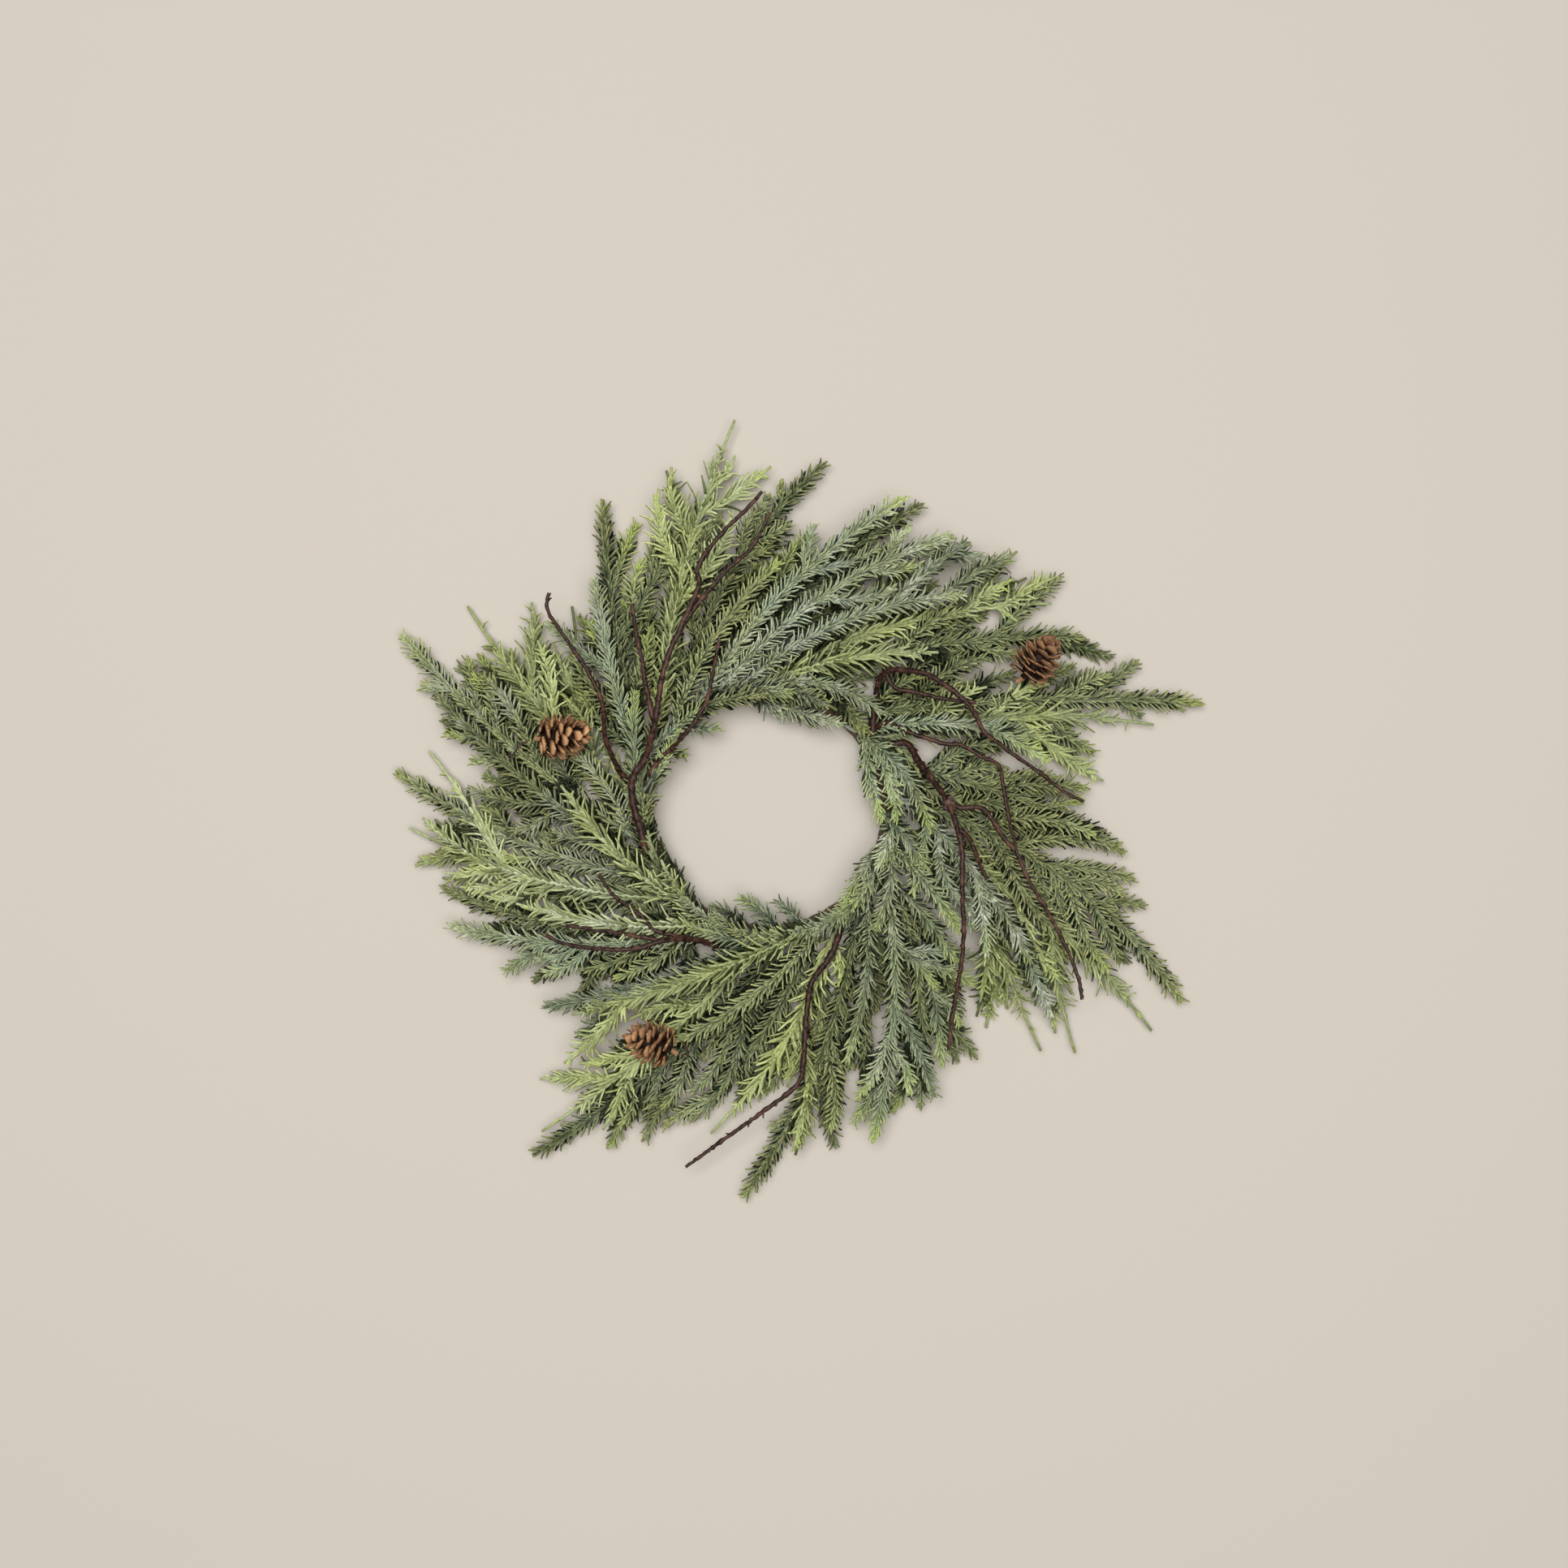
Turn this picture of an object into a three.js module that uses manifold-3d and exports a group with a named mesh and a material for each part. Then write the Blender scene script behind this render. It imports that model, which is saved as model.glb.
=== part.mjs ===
// An evergreen candle ring: a tape-wrapped wire ring that lies flat round a pillar candle, with
// moulded evergreen sprays bound to it in a clockwise swirl, brown twigs laid over them, and three
// small cones wired on. Millimetres, +Z up. The layout is measured from the middle of the ring, with
// +X and +Y to the right and the top of the wreath as seen from above.

import * as THREE from 'three';
import { mergeVertices } from 'three/addons/utils/BufferGeometryUtils.js';
import Module from 'manifold-3d';

const wasm = await Module();
wasm.setup();

// The taped ring that carries everything
const ringRadius = 60;
const ringWidth = 10;
const ringHeight = 8;
const ringChamfer = 2.4;
const ringSegments = 32;

// Room left between pieces, so that no two touch
const seatGap = 0.3;
const pieceGap = 0.45;
const forkGap = 0.15;
const floorGap = 0.4;

// How the sprays are laid over each other, from the table up
const layoutStep = 2.5;
const laneMargin = 1.0;
const pileGap = 1.0;
const freeRoot = 5;
const sprayClimb = 0.55;
const twigClimb = 0.9;
const crestShare = 0.45;
const forkAngle = THREE.MathUtils.degToRad(38);

// The three kinds of spray. Lean is the angle of a needle to its stem, lift its angle out of the
// spray's plane, and bareTip the length of naked leader at the tip.
const kinds = {
  spruce: {
    colour: 0x4c6a4a, stemRoot: 1.35, stemTip: 0.75, sideRoot: 1.05,
    pitch: 6.0, needle: 9.0, under: 6.0, lean: 40, lift: 20, bareRoot: 13, bareTip: 0,
  },
  cedar: {
    colour: 0x7f9e55, stemRoot: 1.3, stemTip: 0.6, sideRoot: 0.9,
    pitch: 6.4, needle: 13.0, under: 7.0, lean: 30, lift: 12, bareRoot: 16, bareTip: 15,
  },
  frosted: {
    colour: 0x7d958c, stemRoot: 1.3, stemTip: 0.7, sideRoot: 1.0,
    pitch: 5.8, needle: 11.0, under: 6.5, lean: 34, lift: 16, bareRoot: 12, bareTip: 0,
  },
};
const bareSide = 5;
const shortestSide = 12;

// Where a stem is bound on the ring: how far out, and how high
const seats = {
  outer: { out: ringWidth / 2, height: 4.6 },
  top: { out: 2.0, height: ringHeight },
  inner: { out: -2.4, height: ringHeight },
};

// One spray a line, from the lowest to the highest: kind, place round the ring in degrees, seat,
// bow in degrees, height at the crest, height at the tip, tip, side tips.
const sprays = [
  ['spruce', 192, 'outer', 8, 10, 7, [-180, 86], [[-170, 62], [-148, 74], [-127, 78]]],
  ['spruce', 211, 'outer', 12, 9, 6, [-182, 18], [[-171, -25]]],
  ['spruce', 240, 'outer', 14, 10, 6, [-159, -39], [[-114, -83]]],
  ['spruce', 277, 'outer', 10, 10, 6, [-114, -169], [[-77, -164], [-60, -161]]],
  ['spruce', 289, 'outer', 12, 12, 7, [-36, -152], [[-50, -155]]],
  ['spruce', 313, 'outer', 14, 9, 6, [-11, -190], [[4, -156], [33, -164]]],
  ['spruce', 334, 'outer', 14, 10, 7, [76, -145], [[102, -120]]],
  ['spruce', 5, 'outer', 20, 10, 6, [205, -93], [[185, -46], [150, -72]]],
  ['spruce', 20, 'outer', 12, 12, 8, [175, -19], [[154, 5]]],
  ['spruce', 46, 'outer', 6, 11, 7, [213, 54], [[184, 48], [182, 73], [160, 30]]],
  ['spruce', 75, 'outer', 12, 10, 8, [155, 86], [[144, 115]]],
  ['spruce', 108, 'outer', 14, 10, 9, [75, 151], []],
  ['spruce', 132, 'outer', 18, 10, 8, [27, 171], [[7, 161]]],
  ['spruce', 155, 'outer', 8, 11, 8, [-81, 151], [[-42, 146]]],
  ['cedar', 181, 'outer', 6, 12, 5, [-149, 102], [[-117, 104], [-97, 102]]],
  ['cedar', 221, 'outer', 12, 14, 6, [-178, -8], [[-168, 30]]],
  ['cedar', 266, 'outer', 8, 12, 6, [-112, -159], [[-113, -133]]],
  ['cedar', 301, 'outer', 14, 14, 6, [-28, -160], [[22, -148]]],
  ['cedar', 354, 'outer', 14, 14, 6, [191, -109], [[153, -120], [136, -119]]],
  ['cedar', 33, 'outer', 12, 13, 6, [192, 43], [[167, 15]]],
  ['cedar', 89, 'outer', 14, 14, 8, [141, 103], [[124, 94], [124, 129]]],
  ['cedar', 143, 'outer', 10, 13, 8, [-16, 194], [[-50, 169], [2, 171]]],
  ['spruce', 208, 'top', 8, 22, 13, [-162, 56], [[-156, 38], [-143, 25]]],
  ['frosted', 251, 'top', 12, 21, 11, [-155, -57], [[-128, -78]]],
  ['frosted', 268, 'top', 10, 24, 13, [-108, -96], []],
  ['spruce', 140, 'top', 14, 23, 18, [5, 122], [[-5, 98]]],
  ['frosted', 163, 'top', 8, 23, 17, [-84, 112], [[-106, 92]]],
  ['frosted', 125, 'top', 14, 23, 16, [66, 153], [[22, 139]]],
  ['frosted', 338, 'top', 12, 22, 14, [53, -160], [[83, -86]]],
  ['frosted', 10, 'top', 16, 25, 15, [139, -99], []],
  ['frosted', 41, 'top', 12, 25, 15, [135, 36], []],
  ['spruce', 299, 'top', 12, 27, 18, [-42, -112], []],
  ['frosted', 322, 'top', 12, 26, 18, [40, -120], []],
  ['cedar', 231, 'top', 10, 31, 20, [-101, 13], []],
  ['cedar', 244, 'top', 10, 31, 20, [-123, -45], []],
  ['cedar', 306, 'top', 6, 33, 16, [-96, -100], []],
  ['frosted', 116, 'top', 16, 29, 20, [89, 135], []],
  ['frosted', 104, 'top', 18, 32, 23, [95, 106], []],
  ['cedar', 96, 'top', 12, 28, 22, [84, 78], []],
  ['frosted', 195, 'top', 6, 27, 22, [-65, 57], [[-44, 38]]],
  ['frosted', 108, 'inner', 32, 23, 22, [56, 49], [[35, 43]]],
  ['frosted', 48, 'inner', 22, 23, 22, [80, -8], [[56, -3]]],
  ['frosted', 354, 'inner', 22, 24, 20, [54, -56], [[39, -42]]],
  ['frosted', 290, 'inner', 26, 22, 19, [-38, -56], [[-25, -50]]],
  ['spruce', 204, 'inner', 20, 22, 20, [-60, 22], [[-53, 14]]],
];

// The twigs lie over the sprays: how many sprays are laid before it, place round the ring, radius
// at the root, seat, height at the crest, height at the tip, and branches, each a line of points.
// A fork starts at a point of the first branch, which its first number names.
const twigs = [
  [28, 310, 1.6, 'top', 24, 16, [[32, -70], [22, -84], [19, -104], [18, -122], [16, -132], [10, -138], [-2, -147], [-14, -156],
    [-28, -166], [-40, -175]], []],
  [45, 172, 1.3, 'outer', 33, 37, [[-74, 22], [-79, 36], [-79, 47], [-81, 57], [-86, 67], [-93, 78], [-100, 88], [-106, 98],
    [-105, 106]], []],
  [45, 199, 1.9, 'top', 42, 36, [[-66, 12], [-59, 26], [-54, 42], [-50, 66], [-44, 83], [-34, 99], [-20, 116], [-7, 128],
    [2, 145]], [[4, [-33, 108], [-33, 118], [-23, 133], [-8, 148], [-2, 155]], [3, [-60, 73], [-64, 88], [-66, 101]]]],
  [45, 167, 1.3, 'top', 36, 30, [[-52, 26], [-45, 32], [-36, 42], [-29, 54], [-26, 68], [-23, 84]], []],
  [45, 256, 1.6, 'top', 39, 30, [[-22, -66], [-36, -62], [-50, -62], [-64, -66], [-83, -66], [-98, -64], [-108, -60]],
    [[1, [-54, -58], [-58, -54], [-64, -48], [-74, -41], [-82, -30]], [2, [-69, -59], [-83, -57], [-98, -55]]]],
  [45, 29, 1.8, 'top', 42, 32, [[68, 34], [75, 24], [82, 14], [88, 4], [92, -8], [94, -18], [94, -35], [95, -59], [93, -80],
    [90, -99], [88, -116]],
    [[3, [95, 2], [104, 2], [110, -5], [116, -14], [121, -19], [126, -31], [136, -48], [145, -65], [151, -80], [153, -91]],
      [4, [98, -13], [103, -25], [107, -33]]]],
  [45, 34, 1.5, 'top', 40, 32, [[54, 60], [58, 68], [66, 69], [76, 67], [85, 62], [94, 55], [100, 48], [104, 40], [111, 34],
    [122, 26], [134, 18], [144, 10], [154, 5]], [[1, [62, 61], [73, 58], [86, 55], [102, 53]]]],
];
const twigTip = 0.8;
const twigKnot = 0.16;

// The cones: where each lies, which way its tip points, in degrees, and its length
const cones = [
  { at: [-98, 37], points: 8, length: 27 },
  { at: [132, 74], points: 50, length: 28 },
  { at: [-57, -112], points: 160, length: 26 },
];
const coneWidth = 22;
const coneSides = 6;
const coneRows = 6;
const scaleThickness = 1.0;
const coneSink = 2.5;
const coneBed = 30;
const wireRadius = 0.9;
const bark = 0x3d2a27;
const tape = 0x5c4234;
const coneBrown = 0x9b6b45;
const wireBrown = 0x4a3329;

const up = new THREE.Vector3(0, 0, 1);

// The corners of a stem's section, from the top one round
const sectionOf = (sides) => Array.from({ length: sides }, (_, j) => Math.PI / 2 - (j * 2 * Math.PI) / sides);
const stemSection = sectionOf(3);
const twigSection = sectionOf(4);

// A small generator, so that every build draws the same numbers
function seededRandom(seed) {
  let state = seed >>> 0;
  return () => {
    state = (state + 0x6d2b79f5) >>> 0;
    let t = state;
    t = Math.imul(t ^ (t >>> 15), t | 1);
    t ^= t + Math.imul(t ^ (t >>> 7), t | 61);
    return ((t ^ (t >>> 14)) >>> 0) / 4294967296;
  };
}

// Closed geometry to a solid, and back
function toSolid(geometry) {
  const bare = new THREE.BufferGeometry();
  bare.setAttribute('position', geometry.getAttribute('position'));
  bare.setIndex(geometry.getIndex());
  const merged = mergeVertices(bare, 1e-4);
  return new wasm.Manifold(new wasm.Mesh({
    numProp: 3,
    vertProperties: new Float32Array(merged.attributes.position.array),
    triVerts: new Uint32Array(merged.index.array),
  }));
}

function toGeometry(solid) {
  const mesh = solid.getMesh();
  const geometry = new THREE.BufferGeometry();
  geometry.setAttribute('position', new THREE.BufferAttribute(new Float32Array(mesh.vertProperties), 3));
  geometry.setIndex(new THREE.BufferAttribute(new Uint32Array(mesh.triVerts), 1));
  const flat = geometry.toNonIndexed();
  flat.computeVertexNormals();
  return flat;
}

function fuse(geometries) {
  return toGeometry(geometries.map(toSolid).reduce((whole, piece) => whole.add(piece)));
}

// The pile is a height map of what has been laid so far
const pileCell = 1.5;
const pile = new Map();
const cellOf = (x, y) => Math.round(x / pileCell) * 4096 + Math.round(y / pileCell);

function eachCell(x, y, reach, visit) {
  for (let dx = -reach; dx <= reach; dx += pileCell) {
    for (let dy = -reach; dy <= reach; dy += pileCell) {
      if (dx * dx + dy * dy <= reach * reach) visit(cellOf(x + dx, y + dy));
    }
  }
}

function pileTop(x, y, reach) {
  let top = 0;
  eachCell(x, y, reach, (cell) => {
    top = Math.max(top, pile.get(cell) ?? 0);
  });
  return top;
}

function layOnPile(points) {
  for (const p of points) {
    eachCell(p.x, p.y, p.radius + laneMargin, (cell) => {
      pile.set(cell, Math.max(pile.get(cell) ?? 0, p.z + p.radius));
    });
  }
}

// Gives a line of plan points its heights: the natural ones where nothing is below, and otherwise
// up and over what is already laid, with a limited slope
function settle(points, natural, climb = sprayClimb) {
  const last = points.length - 1;
  points.forEach((p, i) => {
    p.s = i === 0 ? 0 : points[i - 1].s + Math.hypot(p.x - points[i - 1].x, p.y - points[i - 1].y);
  });
  const startHeight = points[0].z;
  const need = points.map((p) => {
    const top = p.s < freeRoot ? 0 : pileTop(p.x, p.y, p.radius + laneMargin);
    return Math.max(top + p.radius + pileGap, p.radius + floorGap);
  });
  points.forEach((p, i) => {
    p.z = i === 0 ? startHeight : Math.max(natural(p.s / points[last].s), need[i]);
  });
  const stepDown = (i, j) => {
    const run = Math.abs(points[i].s - points[j].s);
    points[i].z = Math.max(points[i].z, points[j].z - climb * run);
  };
  for (let i = last - 1; i > 0; i -= 1) stepDown(i, i + 1);
  for (let i = 1; i <= last; i += 1) stepDown(i, i - 1);
  for (let pass = 0; pass < 3; pass += 1) {
    const before = points.map((p) => p.z);
    for (let i = 1; i < last; i += 1) {
      points[i].z = Math.max((before[i - 1] + 2 * before[i] + before[i + 1]) / 4, need[i]);
    }
  }
}

const smooth = (t) => t * t * (3 - 2 * t);
const mix = (a, b, t) => a + (b - a) * t;

function crestProfile(start, crest, tip) {
  return (t) => (t < crestShare
    ? mix(start, crest, smooth(t / crestShare))
    : mix(crest, tip, smooth((t - crestShare) / (1 - crestShare))));
}

// A plan curve from one point to another that starts bow degrees to the left of the straight line
function bowedLine(from, to, bow, radiusFrom, radiusTo) {
  const dx = to[0] - from[0];
  const dy = to[1] - from[1];
  const offset = Math.tan(THREE.MathUtils.degToRad(bow)) / 2;
  const control = [(from[0] + to[0]) / 2 - dy * offset, (from[1] + to[1]) / 2 + dx * offset];
  const count = Math.max(4, Math.round(Math.hypot(dx, dy) / layoutStep));
  return Array.from({ length: count + 1 }, (_, i) => {
    const t = i / count;
    const weight = [(1 - t) * (1 - t), 2 * t * (1 - t), t * t];
    return {
      x: weight[0] * from[0] + weight[1] * control[0] + weight[2] * to[0],
      y: weight[0] * from[1] + weight[1] * control[1] + weight[2] * to[1],
      z: 0,
      radius: mix(radiusFrom, radiusTo, t),
    };
  });
}

// A smooth plan line through given points
function threadedLine(knots, radiusFrom, radiusTo) {
  const curve = new THREE.CatmullRomCurve3(knots.map((k) => new THREE.Vector3(k[0], k[1], 0)), false, 'catmullrom', 0.5);
  const perSpan = 4;
  const count = (knots.length - 1) * perSpan;
  return Array.from({ length: count + 1 }, (_, i) => {
    const p = curve.getPoint(i / count);
    return { x: p.x, y: p.y, z: 0, radius: mix(radiusFrom, radiusTo, i / count) };
  });
}

// Where a stem starts on the ring, with its end or its side seatGap away from the tape
function seatPoint(degrees, seatName, radius, section, tip) {
  const angle = THREE.MathUtils.degToRad(degrees);
  const seat = seats[seatName];
  const wall = ringRadius + seat.out;
  const heading = Math.atan2(tip[1] - wall * Math.sin(angle), tip[0] - wall * Math.cos(angle));
  const outward = seatName === 'outer' ? radius * Math.abs(Math.sin(heading - angle)) + seatGap : 0;
  const below = -Math.min(...section.map((corner) => Math.sin(corner))) * radius;
  const upward = seatName === 'outer' ? 0 : below + seatGap;
  return { x: (wall + outward) * Math.cos(angle), y: (wall + outward) * Math.sin(angle), z: seat.height + upward };
}

const headingAt = (line, i) => {
  const a = line[Math.max(0, i - 1)];
  const b = line[Math.min(line.length - 1, i + 1)];
  return Math.atan2(b.y - a.y, b.x - a.x);
};

// The point of a stem from which a side tip is reached at about the fork angle
function forkIndex(line, tip) {
  let best = 0;
  let bestError = Infinity;
  for (let i = Math.ceil(line.length * 0.12); i < line.length * 0.85; i += 1) {
    const heading = Math.atan2(tip[1] - line[i].y, tip[0] - line[i].x);
    const turn = Math.abs(Math.atan2(Math.sin(heading - headingAt(line, i)), Math.cos(heading - headingAt(line, i))));
    const error = Math.abs(turn - forkAngle);
    if (error < bestError) {
      bestError = error;
      best = i;
    }
  }
  return best;
}

// Lays one spray and returns its lines: the main stem first, then the side stems
function laySpray([kindName, degrees, seatName, bow, crest, tipHeight, tip, sideTips]) {
  const kind = kinds[kindName];
  const root = seatPoint(degrees, seatName, kind.stemRoot, stemSection, tip);
  const main = bowedLine([root.x, root.y], tip, bow, kind.stemRoot, kind.stemTip);
  main[0].z = root.z;
  settle(main, crestProfile(root.z, crest, tipHeight));
  const lines = [main];
  for (const sideTip of sideTips) {
    const from = main[forkIndex(main, sideTip)];
    const turn = Math.sign((tip[0] - from.x) * (sideTip[1] - from.y) - (tip[1] - from.y) * (sideTip[0] - from.x));
    const side = bowedLine([from.x, from.y], sideTip, turn * 6, Math.min(kind.sideRoot, from.radius), kind.stemTip);
    side[0].z = from.z;
    settle(side, (t) => mix(from.z, tipHeight, smooth(t)));
    lines.push(side);
  }
  lines.forEach(layOnPile);
  return lines;
}

function layTwig([, degrees, radius, seatName, crest, tipHeight, knots, forks]) {
  const root = seatPoint(degrees, seatName, radius, twigSection, knots[0]);
  const main = threadedLine([[root.x, root.y], ...knots], radius, twigTip);
  main[0].z = root.z;
  settle(main, crestProfile(root.z, crest, tipHeight), twigClimb);
  const lines = [main];
  for (const [knotIndex, ...points] of forks) {
    const from = main[(knotIndex + 1) * 4];
    const branch = threadedLine([[from.x, from.y], ...points], Math.min(from.radius, radius * 0.7), twigTip);
    branch[0].z = from.z;
    settle(branch, (t) => mix(from.z, tipHeight, smooth(t)), twigClimb);
    lines.push(branch);
  }
  lines.forEach(layOnPile);
  return lines;
}

// Stations along a laid line at an even pitch, each with its own axes
function stationsAlong(line, pitch) {
  const points = line.map((p) => new THREE.Vector3(p.x, p.y, p.z));
  const lengths = [0];
  for (let i = 1; i < points.length; i += 1) lengths.push(lengths[i - 1] + points[i].distanceTo(points[i - 1]));
  const total = lengths[lengths.length - 1];
  const count = Math.max(2, Math.round(total / pitch));
  const at = (s) => {
    let i = 1;
    while (i < lengths.length - 1 && lengths[i] < s) i += 1;
    const t = (s - lengths[i - 1]) / (lengths[i] - lengths[i - 1]);
    return { point: points[i - 1].clone().lerp(points[i], t), radius: mix(line[i - 1].radius, line[i].radius, t) };
  };
  return Array.from({ length: count + 1 }, (_, i) => {
    const s = (i / count) * total;
    const here = at(s);
    const tangent = at(Math.min(total, s + 1)).point.sub(at(Math.max(0, s - 1)).point).normalize();
    const side = new THREE.Vector3().crossVectors(tangent, up).normalize();
    const over = new THREE.Vector3().crossVectors(side, tangent);
    return { s, total, centre: here.point, radius: here.radius, tangent, side, over };
  });
}

// A tube of sections with the given corners, whose faces can be drawn out into needles.
// needles holds the tip of the needle on face (i, j), or nothing.
function tubeGeometry(stations, corners, needles = new Map(), closeTip = true) {
  const positions = [];
  const index = [];
  const sides = corners.length;
  const push = (v) => positions.push(v.x, v.y, v.z) / 3 - 1;
  for (const st of stations) {
    for (const angle of corners) {
      push(st.centre.clone()
        .addScaledVector(st.side, Math.cos(angle) * st.radius)
        .addScaledVector(st.over, Math.sin(angle) * st.radius));
    }
  }
  const last = stations.length - 1;
  for (let i = 0; i < last; i += 1) {
    for (let j = 0; j < sides; j += 1) {
      const k = (j + 1) % sides;
      const quad = [i * sides + j, i * sides + k, (i + 1) * sides + k, (i + 1) * sides + j];
      const tip = needles.get(i * sides + j);
      if (tip) {
        const apex = push(tip);
        quad.forEach((v, n) => index.push(v, quad[(n + 1) % 4], apex));
      } else {
        index.push(quad[0], quad[1], quad[2], quad[0], quad[2], quad[3]);
      }
    }
  }
  const end = stations[last];
  const rootCentre = push(stations[0].centre);
  const tipCentre = push(end.centre.clone().addScaledVector(end.tangent, closeTip ? end.radius * 2.5 : 0));
  for (let j = 0; j < sides; j += 1) {
    const k = (j + 1) % sides;
    index.push(k, j, rootCentre);
    index.push(last * sides + j, last * sides + k, tipCentre);
  }
  const geometry = new THREE.BufferGeometry();
  geometry.setAttribute('position', new THREE.Float32BufferAttribute(positions, 3));
  geometry.setIndex(index);
  return geometry;
}

// Everything that a needle has to stay clear of, as tapered rods in a grid of boxes
const rodCell = 12;
const rods = new Map();

function rodCells(a, b, reach) {
  const keys = [];
  const low = a.clone().min(b).subScalar(reach).divideScalar(rodCell).floor();
  const high = a.clone().max(b).addScalar(reach).divideScalar(rodCell).floor();
  for (let x = low.x; x <= high.x; x += 1) {
    for (let y = low.y; y <= high.y; y += 1) keys.push(`${x},${y}`);
  }
  return keys;
}

function addRod(rod) {
  for (const key of rodCells(rod.a, rod.b, Math.max(rod.ra, rod.rb))) {
    if (!rods.has(key)) rods.set(key, []);
    rods.get(key).push(rod);
  }
}

// How far two tapered rods lie apart, sampled along the first
function rodGap(p, q) {
  const axis = q.b.clone().sub(q.a);
  const lengthSquared = Math.max(axis.lengthSq(), 1e-9);
  let gap = Infinity;
  const samples = 8;
  for (let i = 0; i <= samples; i += 1) {
    const t = i / samples;
    const point = p.a.clone().lerp(p.b, t);
    const u = THREE.MathUtils.clamp(point.clone().sub(q.a).dot(axis) / lengthSquared, 0, 1);
    const between = point.distanceTo(q.a.clone().addScaledVector(axis, u));
    gap = Math.min(gap, between - mix(p.ra, p.rb, t) - mix(q.ra, q.rb, u));
  }
  return gap;
}

function isClear(rod) {
  for (const key of rodCells(rod.a, rod.b, Math.max(rod.ra, rod.rb) + 1)) {
    for (const other of rods.get(key) ?? []) {
      if (other.node === rod.node && other.line === rod.line) continue;
      if (rodGap(rod, other) < (other.node === rod.node ? forkGap : pieceGap)) return false;
      if (rodGap(other, rod) < (other.node === rod.node ? forkGap : pieceGap)) return false;
    }
  }
  return true;
}

function addStemRods(node, stations, line) {
  for (let i = 1; i < stations.length; i += 1) {
    const [from, to] = [stations[i - 1], stations[i]];
    addRod({ node, line, a: from.centre, b: to.centre, ra: from.radius, rb: to.radius });
  }
}

// Lay every spray, with each twig as soon as the sprays below it lie there
const laidSprays = [];
const laidTwigs = [];
sprays.forEach((spray, i) => {
  const kind = kinds[spray[0]];
  const stems = laySpray(spray).map((line) => stationsAlong(line, kind.pitch));
  laidSprays.push({ name: `${spray[0]}_spray_${String(i + 1).padStart(2, '0')}`, kind, stems });
  twigs.forEach((twig, n) => {
    if (twig[0] !== i + 1) return;
    const branches = layTwig(twig).map((line) => stationsAlong(line, 8));
    branches.flat().forEach((station, k) => {
      station.radius *= 1 + (k % 2 ? twigKnot : -twigKnot);
    });
    laidTwigs.push({ name: `twig_${n + 1}`, stems: branches });
  });
});
[...laidSprays, ...laidTwigs].forEach((piece) => {
  piece.stems.forEach((stations, line) => addStemRods(piece.name, stations, line));
});

const laidCones = cones.map(({ at, points, length }, i) => {
  const angle = THREE.MathUtils.degToRad(points);
  const axis = new THREE.Vector3(Math.cos(angle), Math.sin(angle), 0.12).normalize();
  const height = Math.max(coneBed, pileTop(at[0], at[1], coneWidth * 0.3) + coneWidth / 2 - coneSink);
  const centre = new THREE.Vector3(at[0], at[1], height);
  const base = centre.clone().addScaledVector(axis, -length / 2);
  const tip = centre.clone().addScaledVector(axis, length / 2);
  const name = `cone_${i + 1}`;
  addRod({ node: name, line: 0, a: base.clone().lerp(tip, 0.3), b: base.clone().lerp(tip, 0.65), ra: coneWidth / 2 + 0.5, rb: coneWidth / 2 });
  return { name, axis, centre, base, tip, length };
});

// The wire runs from under each cone's base to the nearest stem below it
const laidWires = laidCones.map((cone, i) => {
  const start = cone.base.clone().addScaledVector(cone.axis, -cone.length * 0.44 + cone.length / 2 - 6 - seatGap);
  let seat = null;
  let nearest = Infinity;
  for (const piece of laidSprays) {
    for (const station of piece.stems.flat()) {
      const reach = station.centre.distanceTo(start);
      if (reach < nearest && station.centre.z < start.z - 3 && station.centre.distanceTo(start) > 5) {
        nearest = reach;
        seat = station;
      }
    }
  }
  const foot = seat.centre.clone();
  foot.z += seat.radius + wireRadius + seatGap;
  const line = [start, start.clone().addScaledVector(cone.axis, -3), start.clone().lerp(foot, 0.6).addScaledVector(cone.axis, -2), foot]
    .map((p) => ({ x: p.x, y: p.y, z: p.z, radius: wireRadius }));
  const stations = stationsAlong(line, 4);
  const name = `cone_wire_${i + 1}`;
  addStemRods(name, stations, 0);
  return { name, stations };
});

const ringSides = 48;
for (let i = 0; i < ringSides; i += 1) {
  const point = (n) => new THREE.Vector3(
    ringRadius * Math.cos((n / ringSides) * 2 * Math.PI),
    ringRadius * Math.sin((n / ringSides) * 2 * Math.PI),
    ringHeight / 2,
  );
  const radius = Math.hypot(ringWidth / 2, ringHeight / 2) - 0.9;
  addRod({ node: 'taped_ring', line: 0, a: point(i), b: point(i + 1), ra: radius, rb: radius });
}

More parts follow.
